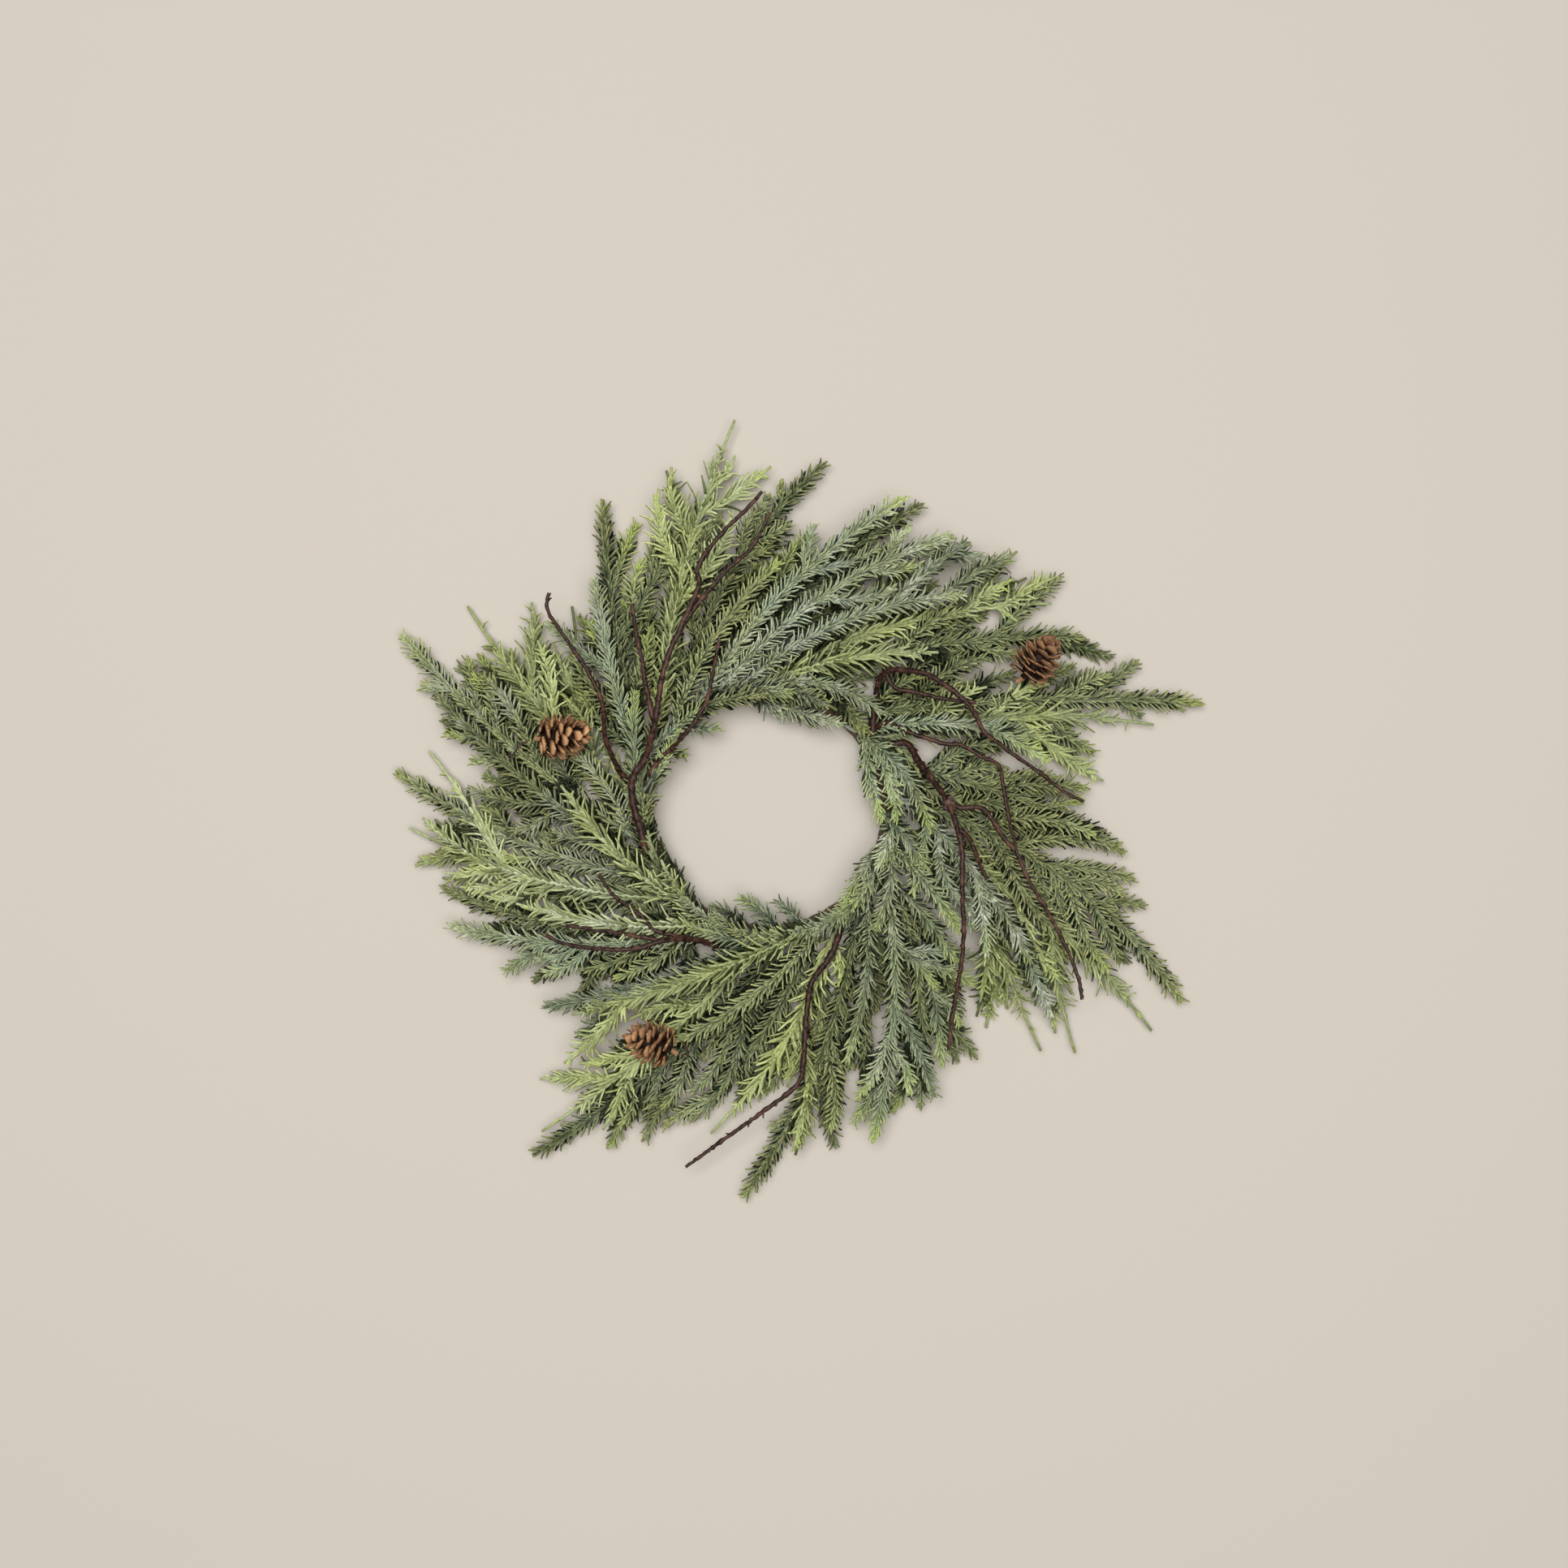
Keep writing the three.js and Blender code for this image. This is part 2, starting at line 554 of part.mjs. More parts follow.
// The needles of one stem: on each face of each length a needle, unless it would touch a neighbour
function needlesOf(node, line, stations, kind, random) {
  const rows = [
    { spread: 1, lift: kind.lift, length: kind.needle },
    { spread: 0, lift: -90, length: kind.under },
    { spread: -1, lift: kind.lift, length: kind.needle },
  ];
  const needles = new Map();
  for (let i = 0; i < stations.length - 1; i += 1) {
    const from = stations[i];
    const to = stations[i + 1];
    const s = (from.s + to.s) / 2;
    const left = from.total - s;
    const taper = 0.6 + 0.4 * Math.min(1, left / 26);
    const young = Math.min(1, 0.5 + s / 40);
    rows.forEach((row, j) => {
      const length = row.length * taper * young * mix(0.9, 1.08, random());
      const lean = THREE.MathUtils.degToRad(kind.lean + mix(-4, 4, random()));
      const lift = THREE.MathUtils.degToRad(row.lift + mix(-7, 7, random()));
      if (s < (line === 0 ? kind.bareRoot : bareSide) || (line === 0 && left < kind.bareTip)) return;
      const sideways = from.side.clone().multiplyScalar(row.spread === 0 ? 0 : row.spread * Math.cos(lift))
        .addScaledVector(from.over, Math.sin(lift)).normalize();
      const direction = from.tangent.clone().multiplyScalar(Math.cos(lean)).addScaledVector(sideways, Math.sin(lean));
      const mean = from.centre.clone().lerp(to.centre, 0.5);
      const foot = mean.clone().addScaledVector(sideways, from.radius * 0.5);
      const tip = foot.clone().addScaledVector(direction, length);
      const skirt = Math.hypot(kind.pitch * Math.sin(lean), from.radius * 1.7) / 2;
      const rod = { node, line, a: foot, b: tip, ra: skirt, rb: 0.1 };
      if (tip.z < floorGap || foot.z - skirt < 0 || !isClear(rod)) return;
      needles.set(i * 3 + j, tip);
      addRod(rod);
    });
  }
  return needles;
}

const wreath = new THREE.Group();

function addMesh(name, geometry, color, roughness) {
  const material = new THREE.MeshStandardMaterial({ color, roughness, metalness: 0 });
  const mesh = new THREE.Mesh(geometry, material);
  mesh.name = name;
  wreath.add(mesh);
}

// The taped ring, an octagon turned round the Z axis with a flat side down
function ringGeometry() {
  const [w, h, c] = [ringWidth / 2, ringHeight, ringChamfer];
  const corners = [[-w + c, 0], [w - c, 0], [w, c], [w, h - c], [w - c, h], [-w + c, h], [-w, h - c], [-w, c]];
  const profile = corners.map(([x, z]) => new THREE.Vector2(ringRadius + x, z));
  profile.push(profile[0].clone());
  return new THREE.LatheGeometry(profile, ringSegments).rotateX(Math.PI / 2);
}

// A cone with its tip up. Its core is a spiral of rows, and every face of the core is drawn out
// into a scale, wide open near the base and closing towards the tip
function coneGeometry({ length }, random) {
  const positions = [];
  const index = [];
  const sector = (2 * Math.PI) / coneSides;
  const push = (radius, angle, z) => positions.push(radius * Math.cos(angle), radius * Math.sin(angle), z) / 3 - 1;
  const quad = (a, b, c, d) => index.push(a, b, c, a, c, d);
  const rowHeight = (row) => mix(-0.44, 0.38, row / coneRows) * length;
  const coreRadius = (row) => coneWidth * 0.19 * Math.sin(Math.PI * mix(0.3, 0.9, row / coneRows));
  const core = Array.from({ length: coneRows + 1 }, (_, row) => Array.from({ length: coneSides }, (__, k) => (
    push(coreRadius(row), (k + row / 2) * sector, rowHeight(row)))));

  for (let row = 0; row < coneRows; row += 1) {
    for (let k = 0; k < coneSides; k += 1) {
      const next = (k + 1) % coneSides;
      const middle = (k + row / 2 + 0.75) * sector;
      const girth = Math.sin(Math.PI * mix(0.34, 0.86, row / (coneRows - 1)));
      const reach = (coneWidth / 2) * girth * mix(0.93, 1.04, random());
      const slope = Math.tan(THREE.MathUtils.degToRad(mix(2, 58, row / (coneRows - 1))));
      const foot = rowHeight(row + 0.5);
      let from = [core[row][k], core[row][next], core[row + 1][next], core[row + 1][k]];
      for (const [out, halfWidth] of [[0.64, reach * 0.3], [1, reach * 0.22]]) {
        const z = foot + (out * reach - coreRadius(row)) * slope;
        const half = scaleThickness / 2;
        const radius = Math.hypot(out * reach, halfWidth);
        const turn = Math.atan2(halfWidth, out * reach);
        const to = [push(radius, middle - turn, z - half), push(radius, middle + turn, z - half),
          push(radius, middle + turn, z + half), push(radius, middle - turn, z + half)];
        from.forEach((v, n) => quad(v, from[(n + 1) % 4], to[(n + 1) % 4], to[n]));
        from = to;
      }
      quad(...from);
    }
  }

  const stalk = [0, 1].map((end) => Array.from({ length: coneSides }, (_, k) => (
    push(1.3, k * sector, rowHeight(0) - 1 - end * 5))));
  const tipPoint = push(0, 0, length * 0.48);
  const stalkEnd = push(0, 0, rowHeight(0) - 6);
  for (let k = 0; k < coneSides; k += 1) {
    const next = (k + 1) % coneSides;
    index.push(core[coneRows][k], core[coneRows][next], tipPoint);
    quad(core[0][next], core[0][k], stalk[0][k], stalk[0][next]);
    quad(stalk[0][next], stalk[0][k], stalk[1][k], stalk[1][next]);
    index.push(stalk[1][next], stalk[1][k], stalkEnd);
  }
  const geometry = new THREE.BufferGeometry();
  geometry.setAttribute('position', new THREE.Float32BufferAttribute(positions, 3));
  geometry.setIndex(index);
  return toGeometry(toSolid(geometry));
}

addMesh('taped_ring', toGeometry(toSolid(ringGeometry())), tape, 0.9);

laidSprays.forEach(({ name, kind, stems }, i) => {
  const random = seededRandom(101 + i);
  const pieces = stems.map((stations, line) => {
    const needles = needlesOf(name, line, stations, kind, random);
    return tubeGeometry(stations, stemSection, needles);
  });
  addMesh(name, fuse(pieces), kind.colour, 0.75);
});

laidTwigs.forEach(({ name, stems }) => {
  addMesh(name, fuse(stems.map((stations) => tubeGeometry(stations, twigSection, new Map(), false))), bark, 0.85);
});

laidCones.forEach((cone, i) => {
  const geometry = coneGeometry(cone, seededRandom(701 + i));
  geometry.applyQuaternion(new THREE.Quaternion().setFromUnitVectors(up, cone.axis));
  geometry.translate(cone.centre.x, cone.centre.y, cone.centre.z);
  addMesh(cone.name, geometry, coneBrown, 0.8);
});

laidWires.forEach(({ name, stations }) => {
  addMesh(name, toGeometry(toSolid(tubeGeometry(stations, twigSection, new Map(), false))), wireBrown, 0.7);
});

// The part's origin is the middle of its underside
const box = new THREE.Box3().setFromObject(wreath);
const middle = box.getCenter(new THREE.Vector3());
wreath.position.set(-middle.x, -middle.y, 0);
const candleRing = new THREE.Group();
candleRing.add(wreath);

export default candleRing;
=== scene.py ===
# An evergreen candle ring: moulded sprays of three kinds bound to a taped ring in a clockwise
# swirl, with dark twigs laid over them and three small cones. The tables hold millimetres and
# degrees, with plan places measured from the middle of the ring, and Blender's units are metres.

import math
import random

import bmesh
import bpy
from mathutils import Matrix, Vector
from mathutils.bvhtree import BVHTree
from mathutils.kdtree import KDTree


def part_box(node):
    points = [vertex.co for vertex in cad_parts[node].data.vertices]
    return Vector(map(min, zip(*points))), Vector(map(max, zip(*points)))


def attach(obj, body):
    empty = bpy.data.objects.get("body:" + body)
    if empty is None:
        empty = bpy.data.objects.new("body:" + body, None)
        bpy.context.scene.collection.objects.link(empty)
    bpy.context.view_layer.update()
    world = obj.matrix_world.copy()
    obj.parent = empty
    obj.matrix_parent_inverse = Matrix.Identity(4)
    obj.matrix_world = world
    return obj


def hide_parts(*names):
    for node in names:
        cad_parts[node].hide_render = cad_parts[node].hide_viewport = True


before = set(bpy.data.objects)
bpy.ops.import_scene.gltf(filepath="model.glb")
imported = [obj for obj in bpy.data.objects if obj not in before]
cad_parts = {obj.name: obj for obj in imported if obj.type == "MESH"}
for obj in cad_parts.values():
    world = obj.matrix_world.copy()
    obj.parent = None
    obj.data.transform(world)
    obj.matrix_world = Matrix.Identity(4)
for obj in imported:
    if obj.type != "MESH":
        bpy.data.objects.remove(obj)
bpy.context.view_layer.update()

mm = 0.001
ringLow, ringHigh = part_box("taped_ring")
ringCentre = (ringLow + ringHigh) / 2
up = Vector((0, 0, 1))

seeds = {"collars": 900, "extraCollars": 870, "rounds": 100, "needles": 500, "twigs": 300, "cones": 700}

# What the sprays are bound to. Trim is how much slimmer than its solid it is at the inner side
ring = {
    "radius": 60.0, "width": 10.0, "height": 8.0, "trim": 1.4, "steps": 368, "sides": 20,
    "squareAcross": 0.62, "squareUp": 0.55, "tapeTurns": 46, "ridge": 0.45,
}
seats = {"outer": 5.0, "top": 2.0, "inner": -2.4}   # how far from the ring's radius a root sits
seatGap = 0.3

# Rows are needles round a stem: place round it in degrees with up at 90, lean to the stem,
# length, how far along the pitch it starts, and how light it is painted; the rows below the stem
# are painted dark, as painted shade in the gaps under a sprig. Bare tip is how much of a long
# stem's end is bare, opener how much of it has no lower needles, ragged how much the lean varies,
# and bends how much the needles curve upwards.
foliage = {
    "spruce": {
        "slot": "spruce_green", "stemRoot": 1.35, "stemTip": 0.6, "sideRoot": 1.05, "pitch": 2.45,
        "width": 1.6, "thickness": 1.15, "bareTip": 0, "opener": 12, "ragged": 5, "bends": (-1.0, 0.3, 0.9),
        "rows": [(4, 43, 7.7, 0.0, 1.0), (176, 43, 7.7, 0.5, 1.0), (58, 30, 6.7, 0.3, 0.95),
                 (122, 30, 6.7, 0.8, 0.95), (90, 17, 5.4, 0.1, 1.0), (-38, 45, 7.5, 0.5, 0.0),
                 (218, 45, 7.5, 0.0, 0.0)],
        "dark": (0.007, 0.013, 0.006), "light": (0.180, 0.240, 0.145), "edge": (0.67, 0.65, 0.26),
        "frost": (0.46, 0.51, 0.42), "cool": (0.88, 1.0, 1.02), "warm": (1.06, 1.02, 0.84),
    },
    "cedar": {
        "slot": "cedar_green", "stemRoot": 1.3, "stemTip": 0.7, "sideRoot": 1.05, "pitch": 4.6,
        "width": 2.0, "thickness": 1.6, "bareTip": 20, "opener": 45, "ragged": 9,
        "bends": (-2.0, -1.2, 0.6, 1.4),
        "rows": [(4, 36, 12.5, 0.0, 1.0), (176, 36, 12.5, 0.5, 1.0), (38, 29, 10.5, 0.3, 1.0),
                 (142, 29, 10.5, 0.8, 1.0), (-38, 34, 11.0, 0.4, 0.1), (218, 34, 11.0, 0.9, 0.1)],
        "dark": (0.018, 0.028, 0.007), "light": (0.475, 0.550, 0.255), "edge": (0.74, 0.79, 0.41),
        "frost": (0.64, 0.70, 0.53), "cool": (0.97, 1.0, 0.98), "warm": (1.05, 1.02, 0.76),
    },
    "frosted": {
        "slot": "frosted_green", "stemRoot": 1.25, "stemTip": 0.55, "sideRoot": 0.95, "pitch": 2.25,
        "width": 1.4, "thickness": 1.0, "bareTip": 0, "opener": 16, "ragged": 11, "bends": (-1.4, 0.3, 1.3),
        "rows": [(4, 38, 7.8, 0.0, 1.0), (176, 38, 7.8, 0.5, 1.0), (50, 28, 6.6, 0.3, 1.0),
                 (130, 28, 6.6, 0.8, 1.0), (90, 18, 5.0, 0.6, 1.0), (-38, 42, 7.6, 0.5, 0.1),
                 (218, 42, 7.6, 0.0, 0.1)],
        "dark": (0.012, 0.019, 0.008), "light": (0.258, 0.310, 0.208), "edge": (0.61, 0.66, 0.36),
        "frost": (0.76, 0.80, 0.72), "cool": (0.85, 1.0, 1.07), "warm": (1.03, 1.02, 0.88),
    },
}

# One spray a line, from the lowest to the highest: kind, place round the ring in degrees, seat,
# bow in degrees, tip, side tips, how yellow its young tips are, and how pale its bloom is
sprays = [
    ("spruce", 192, "outer", 8, (-180, 86), [(-170, 62), (-148, 74), (-127, 78)], 0.3, 0.95),
    ("spruce", 211, "outer", 12, (-182, 18), [(-171, -25)], 0.2, 0.8),
    ("spruce", 240, "outer", 14, (-159, -39), [(-114, -83)], 0.0, 0.3),
    ("spruce", 277, "outer", 10, (-114, -169), [(-77, -164), (-60, -161)], 0.1, 0.5),
    ("spruce", 289, "outer", 12, (-36, -152), [(-50, -155)], 0.0, 0.3),
    ("spruce", 313, "outer", 14, (-11, -190), [(4, -156), (33, -164)], 0.1, 0.2),
    ("spruce", 334, "outer", 14, (76, -145), [(102, -120)], 0.1, 0.2),
    ("spruce", 5, "outer", 20, (205, -93), [(185, -46), (150, -72)], 0.2, 0.2),
    ("spruce", 20, "outer", 12, (175, -19), [(154, 5)], 0.2, 0.3),
    ("spruce", 46, "outer", 6, (213, 54), [(184, 48), (182, 73), (160, 30)], 0.1, 0.2),
    ("spruce", 75, "outer", 12, (155, 86), [(144, 115)], 0.1, 0.2),
    ("spruce", 108, "outer", 14, (75, 151), [], 0.4, 0.4),
    ("spruce", 132, "outer", 18, (27, 171), [(7, 161)], 0.1, 0.2),
    ("spruce", 155, "outer", 8, (-81, 151), [(-42, 146)], 0.6, 0.2),
    ("cedar", 181, "outer", 6, (-149, 102), [(-117, 104), (-97, 102)], 0.3, 0.2),
    ("cedar", 221, "outer", 12, (-178, -8), [(-168, 30)], 0.2, 0.7),
    ("cedar", 266, "outer", 8, (-112, -159), [(-113, -133)], 0.1, 0.2),
    ("cedar", 301, "outer", 14, (-28, -160), [(22, -148)], 0.5, 0.1),
    ("cedar", 354, "outer", 14, (191, -109), [(153, -120), (136, -119)], 0.6, 0.2),
    ("cedar", 33, "outer", 12, (192, 43), [(167, 15)], 0.3, 0.2),
    ("cedar", 89, "outer", 14, (141, 103), [(124, 94), (124, 129)], 0.6, 0.2),
    ("cedar", 143, "outer", 10, (-16, 194), [(-50, 169), (2, 171)], 0.5, 0.2),
    ("spruce", 208, "top", 8, (-162, 56), [(-156, 38), (-143, 25)], 0.2, 1.0),
    ("frosted", 251, "top", 12, (-155, -57), [(-128, -78)], 0.0, 0.5),
    ("frosted", 268, "top", 10, (-108, -96), [], 0.1, 0.5),
    ("spruce", 140, "top", 14, (5, 122), [(-5, 98)], 0.1, 0.3),
    ("frosted", 163, "top", 8, (-84, 112), [(-106, 92)], 0.4, 0.4),
    ("frosted", 125, "top", 14, (66, 153), [(22, 139)], 0.3, 0.5),
    ("frosted", 338, "top", 12, (53, -160), [(83, -86)], 0.4, 0.3),
    ("frosted", 10, "top", 16, (139, -99), [], 0.4, 1.15),
    ("frosted", 41, "top", 12, (135, 36), [], 0.6, 0.4),
    ("spruce", 299, "top", 12, (-42, -112), [], 0.1, 0.3),
    ("frosted", 322, "top", 12, (40, -120), [], 0.45, 0.3),
    ("cedar", 231, "top", 10, (-101, 13), [], 0.1, 0.85),
    ("cedar", 244, "top", 10, (-123, -45), [], 0.35, 0.95),
    ("cedar", 306, "top", 6, (-96, -100), [], 0.2, 0.1),
    ("frosted", 116, "top", 16, (89, 135), [], 0.3, 0.7),
    ("frosted", 104, "top", 18, (95, 106), [], 0.1, 0.65),
    ("cedar", 96, "top", 12, (84, 78), [], 0.4, 0.3),
    ("frosted", 195, "top", 6, (-65, 57), [(-44, 38)], 0.7, 0.3),
    ("frosted", 108, "inner", 32, (56, 49), [(35, 43)], 0.0, 0.8),
    ("frosted", 48, "inner", 22, (80, -8), [(56, -3)], 0.7, 0.5),
    ("frosted", 354, "inner", 22, (54, -56), [(39, -42)], 0.6, 0.4),
    ("frosted", 290, "inner", 26, (-38, -56), [(-25, -50)], 0.1, 0.7),
    ("spruce", 204, "inner", 20, (-60, 22), [(-53, 14)], 0.1, 0.2),
]

# The twigs: place round the ring, root radius, seat, knots of the main branch, and forks, which
# start at a point of the main branch that their first number names
twigs = [
    (310, 1.6, "top", [(32, -70), (22, -84), (19, -104), (18, -122), (16, -132), (10, -138), (-2, -147),
        (-14, -156), (-28, -166), (-40, -175)],
     []),
    (172, 1.3, "outer", [(-74, 22), (-79, 36), (-79, 47), (-81, 57), (-86, 67), (-93, 78), (-100, 88),
        (-106, 98), (-105, 106)],
     []),
    (199, 1.9, "top", [(-66, 12), (-59, 26), (-54, 42), (-50, 66), (-44, 83), (-34, 99), (-20, 116),
        (-7, 128), (2, 145)],
     [(4, (-33, 108), (-33, 118), (-23, 133), (-8, 148), (-2, 155)),
      (2, (-58, 60), (-60, 73), (-63, 87), (-65, 101))]),
    (167, 1.3, "top", [(-52, 26), (-45, 32), (-36, 42), (-29, 54), (-26, 68), (-23, 84)],
     []),
    (256, 1.6, "top", [(-22, -66), (-36, -62), (-50, -62), (-64, -66), (-83, -66), (-98, -64),
        (-108, -60)],
     [(1, (-54, -58), (-58, -54), (-64, -48), (-74, -41), (-82, -30)),
      (2, (-69, -59), (-83, -57), (-98, -55))]),
    (29, 1.8, "top", [(68, 34), (75, 24), (82, 14), (88, 4), (92, -8), (94, -18), (94, -35), (95, -59),
        (93, -80), (90, -99), (88, -116)],
     [(3, (95, 2), (104, 2), (110, -5), (116, -14), (121, -19), (126, -31), (136, -48), (145, -65),
          (151, -80), (153, -91)),
      (4, (98, -13), (103, -25), (107, -33))]),
    (34, 1.5, "top", [(54, 60), (58, 68), (66, 69), (76, 67), (85, 62), (94, 55), (100, 48), (104, 40),
        (111, 34), (122, 26), (134, 18), (144, 10), (154, 5)],
     [(1, (62, 61), (73, 58), (86, 55), (102, 53))]),
]
# One thin stem more of the sixth twig: its knots with their heights, from the ring to the long fork
thinStem = {
    "twig": 5, "radius": 1.15,
    "knots": [(49, 38, 9), (60, 44, 15), (70, 39, 20), (77, 36.5, 21.5), (88, 33, 22.5), (94, 33, 23),
              (100, 30, 23.3), (107, 26, 23.5), (112, 24, 23.5), (114.5, 19.5, 23.5), (115.5, 13, 23.5),
              (117, 4, 24), (118.5, -5, 25.5), (120.5, -13, 28), (121, -18, 29.5)],
}
# Knot is how much a twig swells at a knot, and wander and rough are how uneven it is. The burr sits
# where the long branch of one twig forks.
twigLook = {
    "tip": 0.85, "forkShare": 0.7, "knotSteps": 4, "sides": 9, "spacing": 1.5, "knot": 0.38, "wander": 0.24,
    "knotChance": 0.13, "rough": 0.14, "buds": 9.0, "firstBud": (8, 14), "lastBud": 4, "budsAbove": 0.8,
    "budLean": (0.5, 1.6), "budReach": (1.0, 2.6), "budRoot": 0.72, "budTip": (0.2, 0.45),
    "burr": 2.7, "burrTwig": 5, "burrSize": (1.0, 1.5, 1.0), "burrFlat": 0.72,
}
twigLayers = ("knot", "cut", "tone")

# The cones: plan place, which way the tip points, length, width, how much less open than usual the
# scales of the base are, how wide and how pale the scales are, and how much the tip rises
cones = [
    {"node": "cone_1", "plan": (-98, 37), "points": 8, "length": 28.0, "width": 25.0, "closed": 18,
     "scaleWidth": 8.4, "pale": 0.75, "rise": 0.12},
    {"node": "cone_2", "plan": (132, 74), "points": 50, "length": 28.0, "width": 24.0, "closed": -14,
     "scaleWidth": 10.0, "pale": 0.05, "rise": 0.3},
    {"node": "cone_3", "plan": (-57, -112), "points": 160, "length": 27.0, "width": 24.0, "closed": -4,
     "scaleWidth": 8.6, "pale": 0.45, "rise": 0.12},
]
coneGuard = {"along": 0.46, "aside": 0.42, "near": 34}   # the room in which no needle grows


def atPlan(x, y, z):
    return Vector((ringCentre.x + x * mm, ringCentre.y + y * mm, z))


def toPlan(point):
    return ((point.x - ringCentre.x) / mm, (point.y - ringCentre.y) / mm)


for cone in cones:
    low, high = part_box(cone["node"])
    angle = math.radians(cone["points"])
    cone["axis"] = Vector((math.cos(angle), math.sin(angle), cone["rise"])).normalized()
    cone["centre"] = atPlan(*cone["plan"], (low.z + high.z) / 2)


def inCone(point, cone):
    offset = point - cone["centre"]
    along = offset.dot(cone["axis"])
    aside = (offset - cone["axis"] * along).length
    inLength = abs(along) < cone["length"] * coneGuard["along"] * mm
    return inLength and aside < cone["width"] * coneGuard["aside"] * mm


# How the sprays branch beyond the stems above. A sprig grows where enough of the ground under it is
# bare, at a level where no other stem lies. Lane is how far its tip may be from a long stem, by the
# distance from the middle. A round is how many layers it fills up to, and the bare share it needs.
branching = {
    "step": 2.5, "forkAngle": 38.0, "forkFrom": 0.12, "forkTo": 0.85, "sideBow": 6,
    "firstStart": (3, 6), "every": 4.0, "lastStart": 26.0, "angle": 27.0, "angleSpread": 7, "bow": (14, 28),
    "shortest": 17.0, "longest": 50.0, "share": 0.55, "lengthSpread": (0.8, 1.1), "parentLength": 38,
    "shrinks": (1.0, 0.75, 0.55), "lane": [(0, 13), (105, 12.5), (135, 9.5), (165, 7.0)],
    "middleLane": 1.3, "keepOut": 4.5, "holeMargin": -5, "halfWidth": 6.0, "cell": 2.5,
    "rounds": [(1, 0.3), (2, 0.42), (3, 0.5)],
    "lifts": (-1.0, 2.8, -4.8, 6.6, -8.6, 10.4), "steepest": 0.2, "riseShare": 0.45, "slimmer": 0.85,
    "clear": 3.0, "crowded": 0.15, "tipCrowded": 0.9, "lowest": 2.4, "ceiling": 34.0, "openSky": 99.0,
}
# Which stem a short sprig grows from: the turn and the length that suit best, and how bad it may be
reaching = {"turn": 24, "turnSpread": 9, "length": 36, "lengthSpread": 12, "worst": 3.0, "bow": 7}
# A sprig near a root that follows the ring
collar = {"start": 5, "length": (34, 48), "overHole": (3.5, 6.5), "points": 19, "height": 12.0, "spread": 3}
# How far under twigs and cones the foliage stays: the height below, and the reach
under = {"twig": (3.5, 4.0), "cone": (8, 13.0), "twigStart": 4}

# Places between the sprays that the photograph shows open: plan place and radius
openPlaces = [
    (78, 32, 5), (176, 39, 10), (132, 97, 9), (-152, 21, 8), (-11, 160, 7), (193, 48, 6), (100, -114, 6),
    (30, 140, 6), (163, 25, 6), (159, 1, 6), (-96, -135, 6), (187, -51, 6), (-84, 122, 5), (-109, -89, 5),
    (-27, -151, 5), (185, 69, 5), (-164, 12, 5), (2, -161, 5), (-60, -166, 5), (-120, -79, 4),
    (59, -155, 4), (-169, 67, 4), (159, 40, 4), (179, -21, 4), (45, 147, 4), (-127, -73, 4), (188, -81, 4),
    (-42, -157, 4), (-51, -161, 4), (27, -165, 4), (9, 165, 4), (23, 150, 4), (-90, 102, 4), (-149, -50, 4),
    (152, -102, 4), (8, -146, 4), (-78, 114, 3), (119, 104, 3), (171, 75, 3), (-166, 54, 3), (-15, -152, 3),
    (-81, -164, 3), (-71, -166, 3), (-100, 95, 3), (-157, 34, 3), (-140, -51, 3), (2, -150, 3),
    (18, 144, 3), (157, -85, 3),
]

# Tips of shorter sprigs that the photograph shows between the long stems, some with their kind
shortTips = [
    (120, 68, "spruce"), (118, -64, "frosted"), (107, -68, "frosted"), (128, -72, "frosted"),
    (100, -56, "frosted"), (46, -138), (10, -137), (101, -72, "frosted"), (136, 26), (-107, 84),
    (18, 102), (72, -38, "frosted"), (-94, -97), (-60, -98), (84, -42, "frosted"), (78, -28),
    (93, -57, "frosted"), (104, -102), (86, -123), (63, -147), (-142, 76), (178, -74), (129, 116),
    (122, 115), (-93, -125), (-92, 95), (-81, -157), (100, -84, "frosted"), (105, -94), (96, 131),
    (104, 126), (112, 121), (150, 71), (140, 17), (-170, -3), (13, -167), (109, -108),
    (92, -72, "frosted"), (180, -33), (169, 77), (116, 124), (143, 116), (-66, 141), (44, -153),
    (14, -170), (-165, -4), (-92, -110), (-100, -124), (173, -72), (82, -139), (94, -122),
]

# How near the middle of the hole the sprigs along its edge come, by the place round it in degrees
holeEdge = [
    (0, 57), (20, 57), (48, 57), (58, 55), (69, 53), (105, 53), (123, 53.5), (142, 52), (168, 54.5),
    (193, 54.5), (214, 51.5), (235, 56), (255, 55), (288, 56.5), (304, 57), (341, 56), (360, 57),
]

# Small sprigs that reach over the hole: the spray that each belongs to, where it starts on the
# ring, and its tip
holeSprigs = [
    (43, (19, -59), (6, -45)), (43, (6, -59), (-12, -43)), (43, (-9, -58), (-25, -47)),
    (44, (-38, -51), (-52, -17)), (27, (-43, 44), (-25, 41)), (25, (-53, 33), (-41, 28)),
    (40, (-10, 60), (10, 47)), (40, (4, 61), (22, 44)),
]
holeRise = (10.0, 15.0)   # their heights at the start and at the tip
holeBow = -12
extraCollars = (78, 62, 32, 10, 335, 318, 255, 235)   # where one more sprig covers the ring
bareTape = (-57.0, 15.0, 6.0)   # where the photo shows the tape: place and reach

foliageLayers = ("reach", "edge", "tone", "age")
tangentReach = 1.5   # how far to both sides a stem's direction is read
rayStart = 0.2       # metres, above the whole ring


def along(stops, t):
    for (t0, a), (t1, b) in zip(stops, stops[1:]):
        if t <= t1:
            return a + (b - a) * (t - t0) / (t1 - t0)
    return stops[-1][1]


